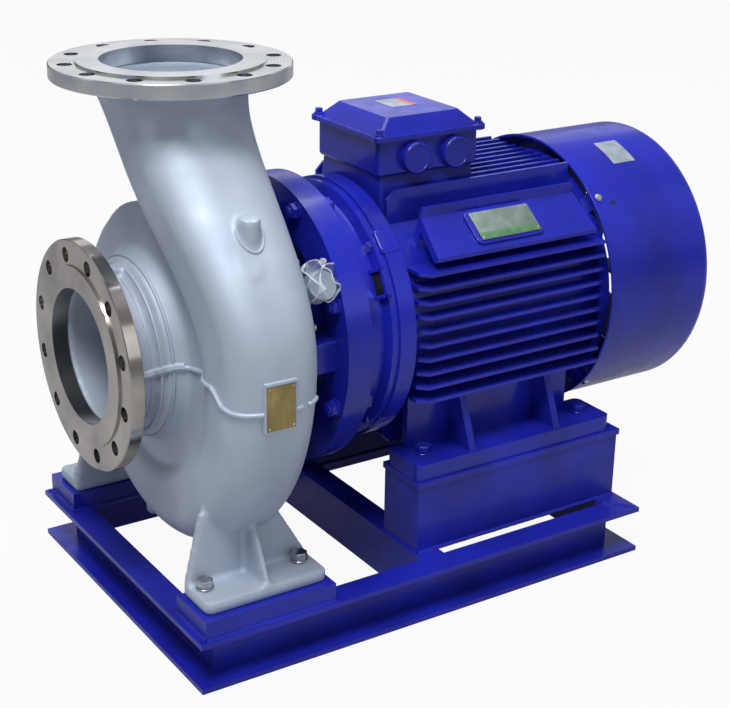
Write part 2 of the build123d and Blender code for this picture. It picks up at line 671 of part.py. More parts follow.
def main():
    near_foot = motor_foot()
    near_pad = pump_pad()
    near_pedestal = motor_pedestal()
    near_beam = long_beam_near()
    casing = volute_casing()
    pieces = {
        "volute_casing": casing,
        "casing_plate": casing_plate(casing),
        "suction_neck": suction_neck(),
        "discharge_collar": discharge_collar(),
        "suction_flange": suction_flange(),
        "discharge_flange": discharge_flange(),
        "impeller": impeller(),
        "impeller_nut": impeller_nut(),
        "pump_shaft": pump_shaft(),
        "casing_cover": casing_cover(),
        "seal_gland": seal_gland(),
        "lantern_bracket": lantern_bracket(),
        "flush_port": flush_port(),
        "motor_front_shield": motor_front_shield(),
        "motor_frame": motor_frame(),
        "motor_rear_shield": motor_rear_shield(),
        "motor_shaft": motor_shaft(),
        "cooling_fan": cooling_fan(),
        "fan_cowl": fan_cowl(),
        "cowl_grille": cowl_grille(),
        "motor_foot_near": near_foot,
        "motor_foot_far": far_side(near_foot),
        "terminal_riser": terminal_riser(),
        "terminal_box": terminal_box(),
        "terminal_lid": terminal_lid(),
        "cable_plugs": cable_plugs(),
        "long_beam_near": near_beam,
        "long_beam_far": far_side(near_beam),
        "pump_end_beam": pump_end_beam(),
        "motor_end_beam": motor_end_beam(),
        "middle_cross_beam": middle_cross_beam(),
        "pump_pad_near": near_pad,
        "pump_pad_far": far_side(near_pad),
        "motor_pedestal_near": near_pedestal,
        "motor_pedestal_far": far_side(near_pedestal),
    }
    limits = Compound(children=[copy.copy(piece) for piece in pieces.values()]).bounding_box()
    middle = limits.center()
    os.makedirs("parts", exist_ok=True)
    for name, piece in pieces.items():
        placed = Pos(-middle.X, -middle.Y, -limits.min.Z) * piece
        export_step(placed, f"parts/{name}.step")
        print(name, round(placed.volume / 1000), "cm3")
    print("origin in the shaft frame", middle.X, middle.Y, limits.min.Z)


main()
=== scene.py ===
import math

import bmesh
import bpy
import numpy as np
from bpy.props import FloatProperty, FloatVectorProperty, IntProperty, PointerProperty
from mathutils import Matrix, Vector, noise
from mathutils.bvhtree import BVHTree


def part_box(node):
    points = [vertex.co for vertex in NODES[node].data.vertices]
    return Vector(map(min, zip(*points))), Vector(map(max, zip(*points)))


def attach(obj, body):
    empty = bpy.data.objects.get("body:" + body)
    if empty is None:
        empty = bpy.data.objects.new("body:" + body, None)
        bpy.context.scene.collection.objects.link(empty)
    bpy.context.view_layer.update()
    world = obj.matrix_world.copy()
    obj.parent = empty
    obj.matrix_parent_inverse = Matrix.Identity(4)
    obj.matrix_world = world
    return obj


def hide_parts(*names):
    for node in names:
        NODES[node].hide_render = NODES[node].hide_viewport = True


bl_info = {
    "name": "Close-coupled centrifugal pump",
    "version": (1, 0, 0),
    "blender": (4, 5, 0),
    "location": "3D View > Sidebar > Pump",
    "description": "Dresses the solid model of a flanged centrifugal pump with its motor and base",
    "category": "Object",
}

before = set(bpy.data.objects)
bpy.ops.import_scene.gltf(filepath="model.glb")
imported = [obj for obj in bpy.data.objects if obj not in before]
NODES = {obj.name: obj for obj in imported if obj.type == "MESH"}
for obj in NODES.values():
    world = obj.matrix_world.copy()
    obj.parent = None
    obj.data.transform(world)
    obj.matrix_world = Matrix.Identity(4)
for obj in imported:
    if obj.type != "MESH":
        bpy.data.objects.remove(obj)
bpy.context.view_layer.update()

# Shaft frame in millimetres: origin in the suction face, X along the shaft, Y to the back, Z up
MM = 0.001
IN_MM = Matrix.Diagonal((MM, MM, MM, 1))
SUCTION_LOW, SUCTION_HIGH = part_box("suction_flange")
ORIGIN = Vector((
    SUCTION_LOW[0],
    (SUCTION_LOW[1] + SUCTION_HIGH[1]) / 2,
    (SUCTION_LOW[2] + SUCTION_HIGH[2]) / 2,
))
ALONG = (1, 0, 0)
UP = (0, 0, 1)
FRONT = (0, -1, 0)

# Turns of a fastener that stands on its seat
UPRIGHT = (0.0, 0.0, 0.0)
FACING_MOTOR = (0.0, math.radians(90), 0.0)
FACING_PUMP = (0.0, math.radians(-90), 0.0)
FACING_FRONT = (math.radians(90), 0.0, 0.0)

# Pump end
DISCHARGE_FACE = (160, 0, 415)
CAST_NODES = ("volute_casing", "suction_neck", "discharge_collar")
GAUGE_BOSS = (160.0, -220.0, 240.0)
GAUGE_BOSS_RADIUS = 15.0
GAUGE_BOSS_DEPTH = 80
PLAIN_BOSS_ROOT = (145, -238, 193.7)
NECK_SLOPE = (0, -0.729, 0.685)
# A point (y, z) on the sloping side of the neck, and how far the side runs back per millimetre of rise
NECK_SIDE, NECK_RUN = (-248, 183), 0.94
PUMP_BOLTS_X, PUMP_BOLTS_Y, PUMP_FOOT_TOP = (82, 238), (-216, 216), -297
CASING_STUD_SEAT, CASING_STUD_RADIUS = 268, 186
PORT_MOUTH = (294, -2, 7)
PORT_REACH = 206
PORT_ANGLE = math.radians(31.0)

# Motor
MOTOR_BOLTS_X, MOTOR_BOLTS_Y, MOTOR_FOOT_TOP = (484.5, 795.5), (-178, 178), -198
FLANGE_BACK, FLANGE_FACE, FLANGE_BOLT_RADIUS = 316, 358, 206
SHIELD_BOLT_SEAT, SHIELD_BOLT_RADIUS = 412, 193
SHIELD_LUG_X, SHIELD_LUG_RADIUS = 430, 196
POCKET_CENTRE, POCKET_ACROSS, POCKET_NORMAL = (399, -169, 90), (0.36, -0.83, 0.42), (-0.93, -0.32, 0.18)
QUARTERS = (45, 135, 225, 315)
COWL_SCREWS_X = 826
COWL_RADIUS = 224.0
PAD_SLOPE = (0, -46, 61)
PAD_PLATE_CENTRE = (632, -165, 147)
LID_LABEL_CENTRE = (548, 12, 308)
PLUGS_X, PLUGS_Y, PLUGS_Z = (514, 587), -88, 249

# Cast skin: voxel size, then how far corners are filled and edges are eased
VOXEL = 4.5
FILLET_ROUNDS = 16
FILLET_LIMIT = 0.5
FILLET_SHARE = 0.8
ROUNDS_PER_NORMAL = 4
ROUNDING_ROUNDS = 4
ROUNDING_SHARES = (0.5, -0.52)

# Lines of the casting, as points near its surface
PARTING_LINE_FRONT = [
    (40, -113, -4), (57, -114, -4), (71, -122, 3), (82, -132, 8), (97, -141, 12), (105, -153, 12),
    (95, -205, 15), (91, -235, 17), (91, -249, 10), (91, -263, 0), (95, -283, -4), (106, -299, -4),
    (118, -308, -3), (131, -312, -3), (165, -313, -3), (212, -300, -3), (232, -215, -2),
]
PARTING_LINE_BACK = [
    (36, 124, 2), (104, 130, 0), (117, 186, 0), (112, 240, 0), (160, 262, 0), (208, 240, 0), (232, 208, 0),
]
NECK_RIB = [(38, -112, -1), (57, -114, 0), (71, -122, 6), (84, -133, 12), (98, -141, 13)]
NECK_RINGS = ((62, 113.5), (71, 124.0), (84, 134.5))
GATE_MARKS = [
    [(118, -214, 96), (112, -222, 84)],
    [(150, -306, 36), (161, -308, 30)],
    [(96, -232, 150), (102, -236, 138)],
]

# Turned profiles, as (height, radius)
PIN_PROFILE = [(0, 0), (0, 2.0), (0.5, 2.0), (1.1, 1.3), (1.3, 0)]
EAR_PROFILE = [(0, 0), (0, 10), (0.8, 11.5), (7.5, 11.5), (9.5, 9.5), (9.5, 0)]
PLUG_PROFILE = [
    (-2, 0), (-2, 24.6), (8, 24.6), (11.5, 24.3), (13.6, 23.2), (14.4, 21.6), (14.4, 20.6),
    (14.0, 20.0), (13.2, 19.6), (13.0, 19.0), (13.0, 18.2), (13.0, 0),
]
COWL_SCREW_PROFILE = [(0, 0), (0, 6.5), (1.4, 6.5), (3.6, 4.6), (4.4, 2.0), (3.4, 1.6), (3.4, 0)]
COWL_LIP_OUTLINE = [
    (811.6, 222.0), (811.6, 224.6), (812.6, 225.6), (815.0, 225.6), (816.2, 224.3), (816.2, 223.0),
]

# Stage
WHITE = (1, 1, 1, 1)
FLOOR_WHITE = 0.94
GLOSS_SHARE = 0.15
LAMPS = (
    # name, place, target, size, watts
    ("key", (-1.5, -1.25, 3.7), (-0.1, 0.0, 0.4), (1.3, 1.3), 105.0),
    ("front window", (1.0, -3.3, 2.1), (-0.4, -0.1, 0.5), (1.6, 2.0), 9.0),
    ("back window", (2.05, 3.1, 1.9), (0.0, 0.0, 0.4), (3.2, 1.2), 7.0),
    ("top", (0.3, 0.6, 3.2), (0.1, 0.0, 0.4), (1.8, 1.8), 46.0),
)
CAMERA_PLACE = (-795.05, -1956.96, 827.73)
CAMERA_YAW, CAMERA_PITCH, CAMERA_ROLL = math.radians(33.306), math.radians(21.509), math.radians(-0.9218)
CAMERA_SENSOR = 36.0
FOCAL_PIXELS = 1554.0
PICTURE_WIDTH = 730.0


def at(x, y, z):
    """Point of the shaft frame, in millimetres, as a place in the scene."""
    return ORIGIN + Vector((x, y, z)) * MM


def box_mm(name):
    """Limits of a node in the shaft frame, in millimetres."""
    low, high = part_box(name)
    return (Vector(low) - ORIGIN) / MM, (Vector(high) - ORIGIN) / MM


def placed(point, x_dir, normal):
    """Placement at a shaft-frame point with its own X axis and its Z axis along the normal."""
    across = Vector(x_dir).normalized()
    out = Vector(normal).normalized()
    turn = Matrix((across, out.cross(across), out)).transposed().to_4x4()
    return Matrix.Translation(at(*point)) @ turn @ IN_MM


def radial(degrees):
    """Direction away from the shaft, at an angle from straight up."""
    angle = math.radians(degrees)
    return Vector((0, math.sin(angle), math.cos(angle)))


def circle_points(x, radius, count, start=0.0):
    """Shaft-frame points on a circle about the shaft."""
    angles = [math.radians(start + 360 * index / count) for index in range(count)]
    return [(x, radius * math.sin(angle), radius * math.cos(angle)) for angle in angles]


def srgb(code):
    """Linear RGBA of a hex sRGB colour."""
    values = [int(code[i:i + 2], 16) / 255 for i in (0, 2, 4)]
    return tuple(v / 12.92 if v <= 0.04045 else ((v + 0.055) / 1.055) ** 2.4 for v in values) + (1.0,)


def per_mm(size):
    """Texture scale on object coordinates for a feature of that many millimetres."""
    return 1000.0 / size


def add(tree, kind, inputs=None, **settings):
    """Adds a node, sets its properties and fills its inputs with values or links."""
    node = tree.nodes.new(kind)
    for name, value in settings.items():
        setattr(node, name, value)
    for key, value in (inputs or {}).items():
        if isinstance(value, bpy.types.NodeSocket):
            tree.links.new(value, node.inputs[key])
        else:
            node.inputs[key].default_value = value
    return node


# Materials
SOFT_STOPS = (0.35, 0.65)
# Places of the two colours and of the result among the sockets of a colour mix
MIX_FIRST, MIX_SECOND, MIX_RESULT = 6, 7, 2


class Finish:
    """A material with its shader, its object coordinates and its output."""

    def __init__(self, name, **shader_values):
        self.material = bpy.data.materials.new(name)
        self.material.use_nodes = True
        self.tree = self.material.node_tree
        self.tree.nodes.clear()
        values = {key.replace("_", " "): value for key, value in shader_values.items()}
        self.shader = add(self.tree, "ShaderNodeBsdfPrincipled", values)
        self.output = add(self.tree, "ShaderNodeOutputMaterial", {"Surface": self.shader.outputs["BSDF"]})
        self.place = add(self.tree, "ShaderNodeTexCoord").outputs["Object"]

    def grain(self, size, detail=3.0, stretch=None):
        """Noise with features of that many millimetres, drawn out along an axis where asked."""
        vector = self.place
        if stretch:
            mapping = add(self.tree, "ShaderNodeMapping", {"Vector": vector, "Scale": stretch})
            vector = mapping.outputs["Vector"]
        return add(self.tree, "ShaderNodeTexNoise", {
            "Vector": vector, "Scale": per_mm(size), "Detail": detail,
        }).outputs["Fac"]

    def patches(self, size, detail=3.0, stretch=None, stops=SOFT_STOPS):
        """The same noise spread from 0 to 1 between two stops."""
        return add(self.tree, "ShaderNodeMapRange", {
            "Value": self.grain(size, detail, stretch), "From Min": stops[0], "From Max": stops[1],
        }).outputs["Result"]

    def tool_rings(self, centre, axis, spacing):
        """Rings that a lathe tool leaves about an axis through the centre."""
        turn = {"X": (0.0, math.radians(90), 0.0), "Z": (0.0, 0.0, 0.0)}[axis]
        mapping = add(self.tree, "ShaderNodeMapping", {
            "Vector": self.place, "Location": centre, "Rotation": turn,
        }, vector_type="TEXTURE")
        return add(self.tree, "ShaderNodeTexWave", {
            "Vector": mapping.outputs["Vector"], "Scale": per_mm(spacing) / 10, "Distortion": 0.4,
            "Detail": 1.0, "Detail Scale": 2.0,
        }, wave_type="RINGS", rings_direction="Z").outputs["Fac"]

    def colour(self, share, first, second):
        """Base colour between two colours; returns it for a further layer."""
        mixed = add(self.tree, "ShaderNodeMix", {
            "Factor": share, MIX_FIRST: first, MIX_SECOND: second,
        }, data_type="RGBA").outputs[MIX_RESULT]
        self.tree.links.new(mixed, self.shader.inputs["Base Color"])
        return mixed

    def vary(self, name, share, low, high):
        """One value of the shader between low and high."""
        level = add(self.tree, "ShaderNodeMapRange", {"Value": share, "To Min": low, "To Max": high})
        self.tree.links.new(level.outputs["Result"], self.shader.inputs[name])

    def relief(self, height, depth_mm, strength):
        """Raises the surface by a height, on top of earlier relief."""
        inputs = {"Height": height, "Distance": depth_mm * MM, "Strength": strength}
        earlier = self.shader.inputs["Normal"].links
        if earlier:
            inputs["Normal"] = earlier[0].from_socket
        raised = add(self.tree, "ShaderNodeBump", inputs)
        self.tree.links.new(raised.outputs["Normal"], self.shader.inputs["Normal"])


def blasted_casting(tone):
    """CF8M stainless casting, glass-bead blasted: an even silver satin with a fine grit."""
    finish = Finish("blasted stainless casting", Metallic=0.34, Roughness=0.6, Specular_IOR_Level=0.4)
    finish.colour(finish.patches(160, 4, stops=(0.3, 0.7)), tone, srgb("a5afbf"))
    finish.vary("Roughness", finish.patches(60), 0.55, 0.64)
    finish.relief(finish.grain(60, 2), 0.5, 0.2)
    # Grit of 0.8 mm is drawn at 1.6 mm so that it shows
    finish.relief(finish.grain(1.6, 2), 0.06, 0.35)
    return finish.material


def turned_stainless(name, centre, axis, bright, dull):
    """316L flange turned on a lathe: bright, with fine concentric tool rings."""
    finish = Finish(name, Metallic=1.0, Roughness=0.24)
    finish.colour(finish.patches(70, 4), srgb(bright), srgb(dull))
    # A feed of 0.3 mm is drawn at 1.5 mm so that it shows
    rings = finish.tool_rings(centre, axis, 1.5)
    finish.vary("Roughness", rings, 0.14, 0.26)
    finish.relief(rings, 0.02, 0.5)
    return finish.material


def gloss_enamel(name, tone, roughness, grain):
    """Two-pack enamel, sprayed: deep blue, glossy, with a soft orange peel of that grain."""
    finish = Finish(name, Roughness=roughness, Coat_Weight=0.12, Coat_Roughness=0.06,
                    Specular_IOR_Level=0.34)
    finish.colour(finish.patches(120), tone, srgb("191f8c"))
    finish.vary("Roughness", finish.patches(30), roughness - 0.05, roughness + 0.07)
    finish.relief(finish.grain(grain, 1), 0.07, 0.15)
    return finish.material


def ground_steel():
    """Ground carbon steel bar: dull bright metal with a lay round the shaft."""
    finish = Finish("ground steel", Metallic=1.0, Roughness=0.3)
    finish.colour(finish.patches(3, 2, (0.1, 1.0, 1.0)), srgb("8f9092"), srgb("76787b"))
    finish.relief(finish.grain(2, 2), 0.05, 0.4)
    return finish.material


def stainless_fastener():
    """A2 stainless bolts: rolled and chamfered, a little brighter than the casting."""
    finish = Finish("stainless fastener", Metallic=1.0, Roughness=0.32)
    finish.colour(finish.patches(14), srgb("c3c6cb"), srgb("9da1a8"))
    finish.relief(finish.grain(3, 2), 0.05, 0.4)
    return finish.material


def dark_polypropylene():
    """Moulded black polypropylene fan: matt with a faint flow grain."""
    finish = Finish("moulded polypropylene", Roughness=0.55)
    finish.colour(finish.patches(20), srgb("17181c"), srgb("24262b"))
    finish.relief(finish.grain(4, 2), 0.05, 0.3)
    return finish.material


def satin_brass():
    """Rolled brass plate, brushed along its length and dulled in patches by air."""
    finish = Finish("brushed brass", Metallic=0.85, Roughness=0.4)
    streak = finish.patches(2.5, stretch=(1.0, 1.0, 0.08))
    brushed = finish.colour(streak, srgb("b5a066"), srgb("9e8a56"))
    finish.colour(finish.patches(30, 4), brushed, srgb("8c7c50"))
    finish.vary("Roughness", streak, 0.34, 0.5)
    finish.relief(streak, 0.04, 0.5)
    return finish.material


def printed_foil(name, first, second, size=18.0, metallic=0.35):
    """Blank polyester or aluminium foil label: even, with a slight silky mottle."""
    finish = Finish(name, Metallic=metallic, Roughness=0.42)
    finish.colour(finish.patches(size), srgb(first), srgb(second))
    finish.relief(finish.grain(5, 2), 0.04, 0.3)
    return finish.material


def stretch_film():
    """Thin polyethylene wrap: clear, milky at its folds, with sharp gloss."""
    finish = Finish("polyethylene stretch film", Roughness=0.16, IOR=1.5)
    fold = add(finish.tree, "ShaderNodeAttribute", attribute_name="fold").outputs["Fac"]
    finish.colour(fold, srgb("8d9ab2"), srgb("e6ecf5"))
    finish.vary("Alpha", fold, 0.2, 0.85)
    finish.relief(finish.grain(16, 1), 0.8, 0.5)
    return finish.material


def rubber_and_painted_shade():
    """Moulded rubber, and painted shade on the floors of unlit recesses: near black with a dull sheen."""
    finish = Finish("black rubber and painted shade", Roughness=0.6)
    finish.colour(finish.patches(6), srgb("0b0b0e"), srgb("17171b"))
    finish.relief(finish.grain(3, 2), 0.05, 0.3)
    return finish.material


PALETTE = {}
TREES = {}

# Finishes of the nodes that keep their own mesh; the base is rolled steel, the rest cast iron
NODE_FINISH = {
    "volute_casing": "casting", "suction_flange": "suction", "discharge_flange": "discharge",
    "impeller": "casting", "impeller_nut": "steel", "pump_shaft": "steel", "casing_cover": "casting",
    "seal_gland": "steel", "flush_port": "casting", "motor_shaft": "steel", "cooling_fan": "plastic",
    "fan_cowl": "cowl", "cowl_grille": "cowl", "terminal_lid": "cowl",
}
BASE_WORDS = ("beam", "pad", "pedestal")


def build_palette(tones):
    """Makes every finish once, under the short name that the pieces use."""
    casting_tone = (*tones.casting_colour, 1.0)
    blue = (*tones.enamel_colour, 1.0)
    PALETTE.update({
        "casting": blasted_casting(casting_tone),
        # Both flanges are the same turned 316L: the suction copy is darker and warmer as a painted dark
        # reflection, the discharge copy paler as painted light on its upward face.
        "suction": turned_stainless("turned stainless, suction, painted dark reflection", ORIGIN, "X", "b5afa8", "948f8a"),
        "discharge": turned_stainless("turned stainless, discharge, painted light", at(*DISCHARGE_FACE), "Z",
                                      "dedfe2", "bfc1c6"),
        "enamel": gloss_enamel("blue enamel on cast iron", blue, 0.22, 12.0),
        "cowl": gloss_enamel("blue enamel on sheet", blue, 0.24, 38.0),
        "frame": gloss_enamel("blue enamel on rolled steel", blue, 0.33, 14.0),
        "steel": ground_steel(),
        "fastener": stainless_fastener(),
        "plastic": dark_polypropylene(),
        "brass": satin_brass(),
        "label": printed_foil("silver foil label", "8f97a6", "a9b0bc"),
        "plate": printed_foil("motor rating plate, blank", "74857c", "8f9a94", 22.0, 0.5),
        "green": printed_foil("green band of the plate", "4f7a55", "5f8a62", 14.0, 0.3),
        "orange": printed_foil("orange end of the label", "c8563f", "d4694f", 14.0, 0.1),
        "film": stretch_film(),
        # Near black: real rubber for the lid gasket; on the floor of the shield pocket it is painted shade.
        "recess": rubber_and_painted_shade(),
    })


def paint_node(name, node):
    """Gives a node of the solid model its finish."""
    on_base = any(word in name for word in BASE_WORDS)
    key = NODE_FINISH.get(name, "frame" if on_base else "enamel")
    node.data.materials.clear()
    node.data.materials.append(PALETTE[key])


# Meshes
SHARP_ANGLE = math.radians(38)
WASHER_THICKNESS = 3
CORNER_STEPS = 4


def linked(name, data):
    """New object in the scene."""
    item = bpy.data.objects.new(name, data)
    bpy.context.scene.collection.objects.link(item)
    return item


def new_piece(name, mesh, finish, replaces=(), smooth=True):
    """Links a mesh as a piece of the pump that rides on the body."""
    piece = linked(name, mesh)
    mesh.materials.clear()
    mesh.materials.append(PALETTE[finish])
    if smooth:
        mesh.shade_smooth()
        mesh.set_sharp_from_angle(angle=SHARP_ANGLE)
    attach(piece, "root")
    if replaces:
        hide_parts(*replaces)
    return piece


def mesh_from(name, build):
    """Mesh made by a function that fills a bmesh."""
    grid = bmesh.new()
    build(grid)
    bmesh.ops.recalc_face_normals(grid, faces=grid.faces)
    mesh = bpy.data.meshes.new(name)
    grid.to_mesh(mesh)
    grid.free()
    return mesh


def evaluated_mesh(piece):
    """Plain mesh of an object with its modifiers applied."""
    view = bpy.context.evaluated_depsgraph_get()
    view.update()
    return bpy.data.meshes.new_from_object(piece.evaluated_get(view), depsgraph=view)


def turned_profile(grid, profile, place, sides=64):
    """Closed body turned from (height, radius) points about the Z axis of a place."""
    loops = []
    for height, radius in profile:
        angles = [2 * math.pi * index / sides for index in range(sides if radius > 0 else 1)]
        loops.append([grid.verts.new(place @ Vector((radius * math.cos(a), radius * math.sin(a), height)))
                      for a in angles])
    join_loops(grid, loops, capped=False)


def join_loops(grid, loops, capped=True):
    """Walls between closed loops, where a loop may be a single point, and caps on both ends."""
    for low, high in zip(loops, loops[1:]):
        count = max(len(low), len(high))
        for index in range(count):
            following = (index + 1) % count
            corners = [low[index % len(low)], low[following % len(low)],
                       high[following % len(high)], high[index % len(high)]]
            grid.faces.new(dict.fromkeys(corners))
    if capped:
        grid.faces.new(loops[-1])
        grid.faces.new(reversed(loops[0]))


def hexagon(grid, place, flats, height, chamfer=1.2):
    """Hex head or nut with its top and bottom corners turned off."""
    outer = flats / math.sqrt(3)
    levels = [(0, outer * 0.93), (chamfer * 0.6, outer), (height - chamfer, outer), (height, outer * 0.9)]
    corners = [math.radians(60 * index) for index in range(6)]
    join_loops(grid, [
        [grid.verts.new(place @ Vector((radius * math.cos(a), radius * math.sin(a), level))) for a in corners]
        for level, radius in levels
    ])


def disc(grid, place, radius, low, high, edge=0.8, sides=32):
    """Round disc between two heights with eased edges."""
    turned_profile(grid, [(low, 0), (low, radius - edge * 0.5), (low + edge * 0.5, radius),
                          (high - edge, radius), (high, radius - edge), (high, 0)], place, sides)


def slab(grid, place, size, bevel=0.8, corner=0.0, low=0.0, segments=2):
    """Flat plate on its placement: rounded corners in plan and eased upper edges."""
    half_x, half_y = size[0] / 2, size[1] / 2
    outline = []
    radius = max(corner, bevel * 1.01)
    for turn, (sx, sy) in enumerate(((1, 1), (-1, 1), (-1, -1), (1, -1))):
        for index in range(CORNER_STEPS + 1):
            angle = math.radians(90 * (turn + index / CORNER_STEPS))
            outline.append((sx * (half_x - radius) + radius * math.cos(angle),
                            sy * (half_y - radius) + radius * math.sin(angle)))
    levels = [(low, 0.0)]
    for index in range(segments + 1):
        angle = math.radians(90 * index / segments)
        levels.append((low + size[2] - bevel + bevel * math.sin(angle), bevel * (1 - math.cos(angle))))
    loops = []
    for height, inset in levels:
        share_x = (half_x - inset) / half_x
        share_y = (half_y - inset) / half_y
        loops.append([grid.verts.new(place @ Vector((x * share_x, y * share_y, height))) for x, y in outline])
    join_loops(grid, loops)


def built(name, build, finish, replaces=()):
    """Piece made by a function that fills a bmesh."""
    return new_piece(name, mesh_from(name, build), finish, replaces)


def slab_piece(name, place, size, finish, **form):
    """Piece made of one flat plate."""
    return built(name, lambda grid: slab(grid, place, size, **form), finish)


def ring_strip(grid, outline, sides):
    """Closed band about the shaft from a closed (station, radius) outline."""
    loops = []
    for index in range(sides):
        angle = 2 * math.pi * index / sides
        loops.append([grid.verts.new(at(x, r * math.sin(angle), r * math.cos(angle))) for x, r in outline])
    join_loops(grid, loops + loops[:1], capped=False)


def arc_patch(grid, x_limits, angles, radius, steps=8):
    """Thin patch that lies on a cylinder about the shaft, between two angles from straight up."""
    rows = []
    for level in (radius - 0.3, radius + 0.45):
        for index in range(steps + 1):
            angle = math.radians(angles[0] + (angles[1] - angles[0]) * index / steps)
            rows.append([grid.verts.new(at(x, -level * math.sin(angle), level * math.cos(angle)))
                         for x in x_limits])
    inner, outer = rows[:steps + 1], rows[steps + 1:]
    sections = [[low[0], low[1], high[1], high[0]] for low, high in zip(inner, outer)]
    join_loops(grid, sections)


def bolt_mesh(name, flats, head, washer, shank=0, tip=0):
    """Hex bolt head on a washer, with a domed stud end above it where there is a tip."""
    def build(grid):
        disc(grid, IN_MM, washer, 0, WASHER_THICKNESS, edge=0.7)
        hexagon(grid, IN_MM @ Matrix.Translation((0, 0, WASHER_THICKNESS)), flats, head)
        if tip:
            end = Matrix.Translation((0, 0, WASHER_THICKNESS + head))
            disc(grid, IN_MM @ end, shank, -0.5, tip, edge=1.4, sides=20)
    return mesh_from(name, build)


# Node trees
def socket_of(tree, name):
    """Identifier of a named input of a node tree."""
    for item in tree.interface.items_tree:
        if item.item_type == "SOCKET" and item.in_out == "INPUT" and item.name == name:
            return item.identifier
    raise KeyError(name)


def begun_tree(name, inputs):
    """Node tree with its named inputs and its finish, and the outputs that carry them inside."""
    tree = bpy.data.node_groups.new(name, "GeometryNodeTree")
    for label, kind in {"Geometry": "Geometry", **inputs, "Finish": "Material"}.items():
        tree.interface.new_socket(label, in_out="INPUT", socket_type="NodeSocket" + kind)
    tree.interface.new_socket("Geometry", in_out="OUTPUT", socket_type="NodeSocketGeometry")
    return tree, add(tree, "NodeGroupInput").outputs


def ended_tree(tree, geometry, finish):
    """The tree with its instances made real and its finish set."""
    real = add(tree, "GeometryNodeRealizeInstances", {"Geometry": geometry})
    painted = add(tree, "GeometryNodeSetMaterial", {"Geometry": real.outputs["Geometry"], "Material": finish})
    add(tree, "NodeGroupOutput", {"Geometry": painted.outputs["Geometry"]})
    return tree


def scatter_tree():
    """Node tree that puts one fastener on every vertex of a mesh of places."""
    tree, given = begun_tree("Fasteners on places", {
        "Fastener": "Object", "Tilt": "Vector", "Turn Variation": "Float", "Seed": "Int",
    })
    source = add(tree, "GeometryNodeObjectInfo", {"Object": given["Fastener"]}, transform_space="ORIGINAL")
    turn = add(tree, "FunctionNodeRandomValue", {"Max": given["Turn Variation"], "Seed": given["Seed"]})
    spin = add(tree, "ShaderNodeCombineXYZ", {"Z": turn.outputs[1]})
    seated = add(tree, "GeometryNodeInstanceOnPoints", {
        "Points": given["Geometry"], "Instance": source.outputs["Geometry"], "Rotation": given["Tilt"],
    })
    spun = add(tree, "GeometryNodeRotateInstances", {
        "Instances": seated.outputs["Instances"], "Rotation": spin.outputs["Vector"],
    })
    return ended_tree(tree, spun.outputs["Instances"], given["Finish"])


def bead_tree():
    """Node tree that runs a rippled bead along a curve, for weld seams and casting lines."""
    tree, given = begun_tree("Bead along a path", {
        "Bead Radius": "Float", "Ripple": "Float", "Step": "Float", "Seed": "Int",
    })
    path = add(tree, "GeometryNodeResampleCurve", {"Curve": given["Geometry"], "Length": given["Step"]},
               mode="LENGTH")
    section = add(tree, "GeometryNodeCurvePrimitiveCircle", {"Resolution": 8, "Radius": given["Bead Radius"]})
    swept = add(tree, "GeometryNodeCurveToMesh", {
        "Curve": path.outputs["Curve"], "Profile Curve": section.outputs["Curve"], "Fill Caps": True,
    })
    place = add(tree, "GeometryNodeInputPosition")
    rough = add(tree, "ShaderNodeTexNoise", {
        "Vector": place.outputs["Position"], "W": given["Seed"], "Scale": per_mm(7.0), "Detail": 1.0,
    }, noise_dimensions="4D")
    level = add(tree, "ShaderNodeMath", {0: rough.outputs["Fac"], 1: 0.5}, operation="SUBTRACT")
    height = add(tree, "ShaderNodeMath", {0: level.outputs["Value"], 1: given["Ripple"]},
                 operation="MULTIPLY")
    outward = add(tree, "GeometryNodeInputNormal")
    shift = add(tree, "ShaderNodeVectorMath", {
        0: outward.outputs["Normal"], "Scale": height.outputs["Value"],
    }, operation="SCALE")
    rippled = add(tree, "GeometryNodeSetPosition", {
        "Geometry": swept.outputs["Mesh"], "Offset": shift.outputs["Vector"],
    })
    return ended_tree(tree, rippled.outputs["Geometry"], given["Finish"])


def grown(name, source, tree, values, finish):
    """Evaluates a node tree on a source object and returns the result as a plain mesh."""
    modifier = source.modifiers.new("Rule", "NODES")
    modifier.node_group = tree
    for key, value in values.items():
        modifier[socket_of(tree, key)] = value
    modifier[socket_of(tree, "Finish")] = PALETTE[finish]
    mesh = evaluated_mesh(source)
    mesh.name = name
    source.modifiers.remove(modifier)
    bpy.data.objects.remove(source)
    return mesh


def fasteners(name, fastener, points, tilt, finish="fastener", turn=0.0, seed=1):
    """Like fasteners at several places, all with the same tilt."""
    places = bpy.data.meshes.new(name + ".places")
    places.from_pydata([tuple(point) for point in points], [], [])
    source = linked(name + ".places", places)
    shape = linked(name + ".shape", fastener)
    mesh = grown(name, source, TREES["scatter"], {
        "Fastener": shape, "Tilt": tilt, "Turn Variation": turn, "Seed": seed,
    }, finish)
    bpy.data.objects.remove(shape)
    return new_piece(name, mesh, finish, smooth=False)


def bead(name, paths, radius, ripple, finish="casting", step=3.0, seed=1):
    """Rippled beads along one or more paths of shaft-frame points."""
    curve = bpy.data.curves.new(name + ".path", "CURVE")
    curve.dimensions = "3D"
    for points in paths:
        spline = curve.splines.new("POLY")
        spline.points.add(len(points) - 1)
        for target, point in zip(spline.points, points):
            target.co = (*at(*point), 1.0)
    mesh = grown(name, linked(name + ".path", curve), TREES["bead"], {
        "Bead Radius": radius * MM, "Ripple": ripple * MM, "Step": step * MM, "Seed": seed,
    }, finish)
    return new_piece(name, mesh, finish)


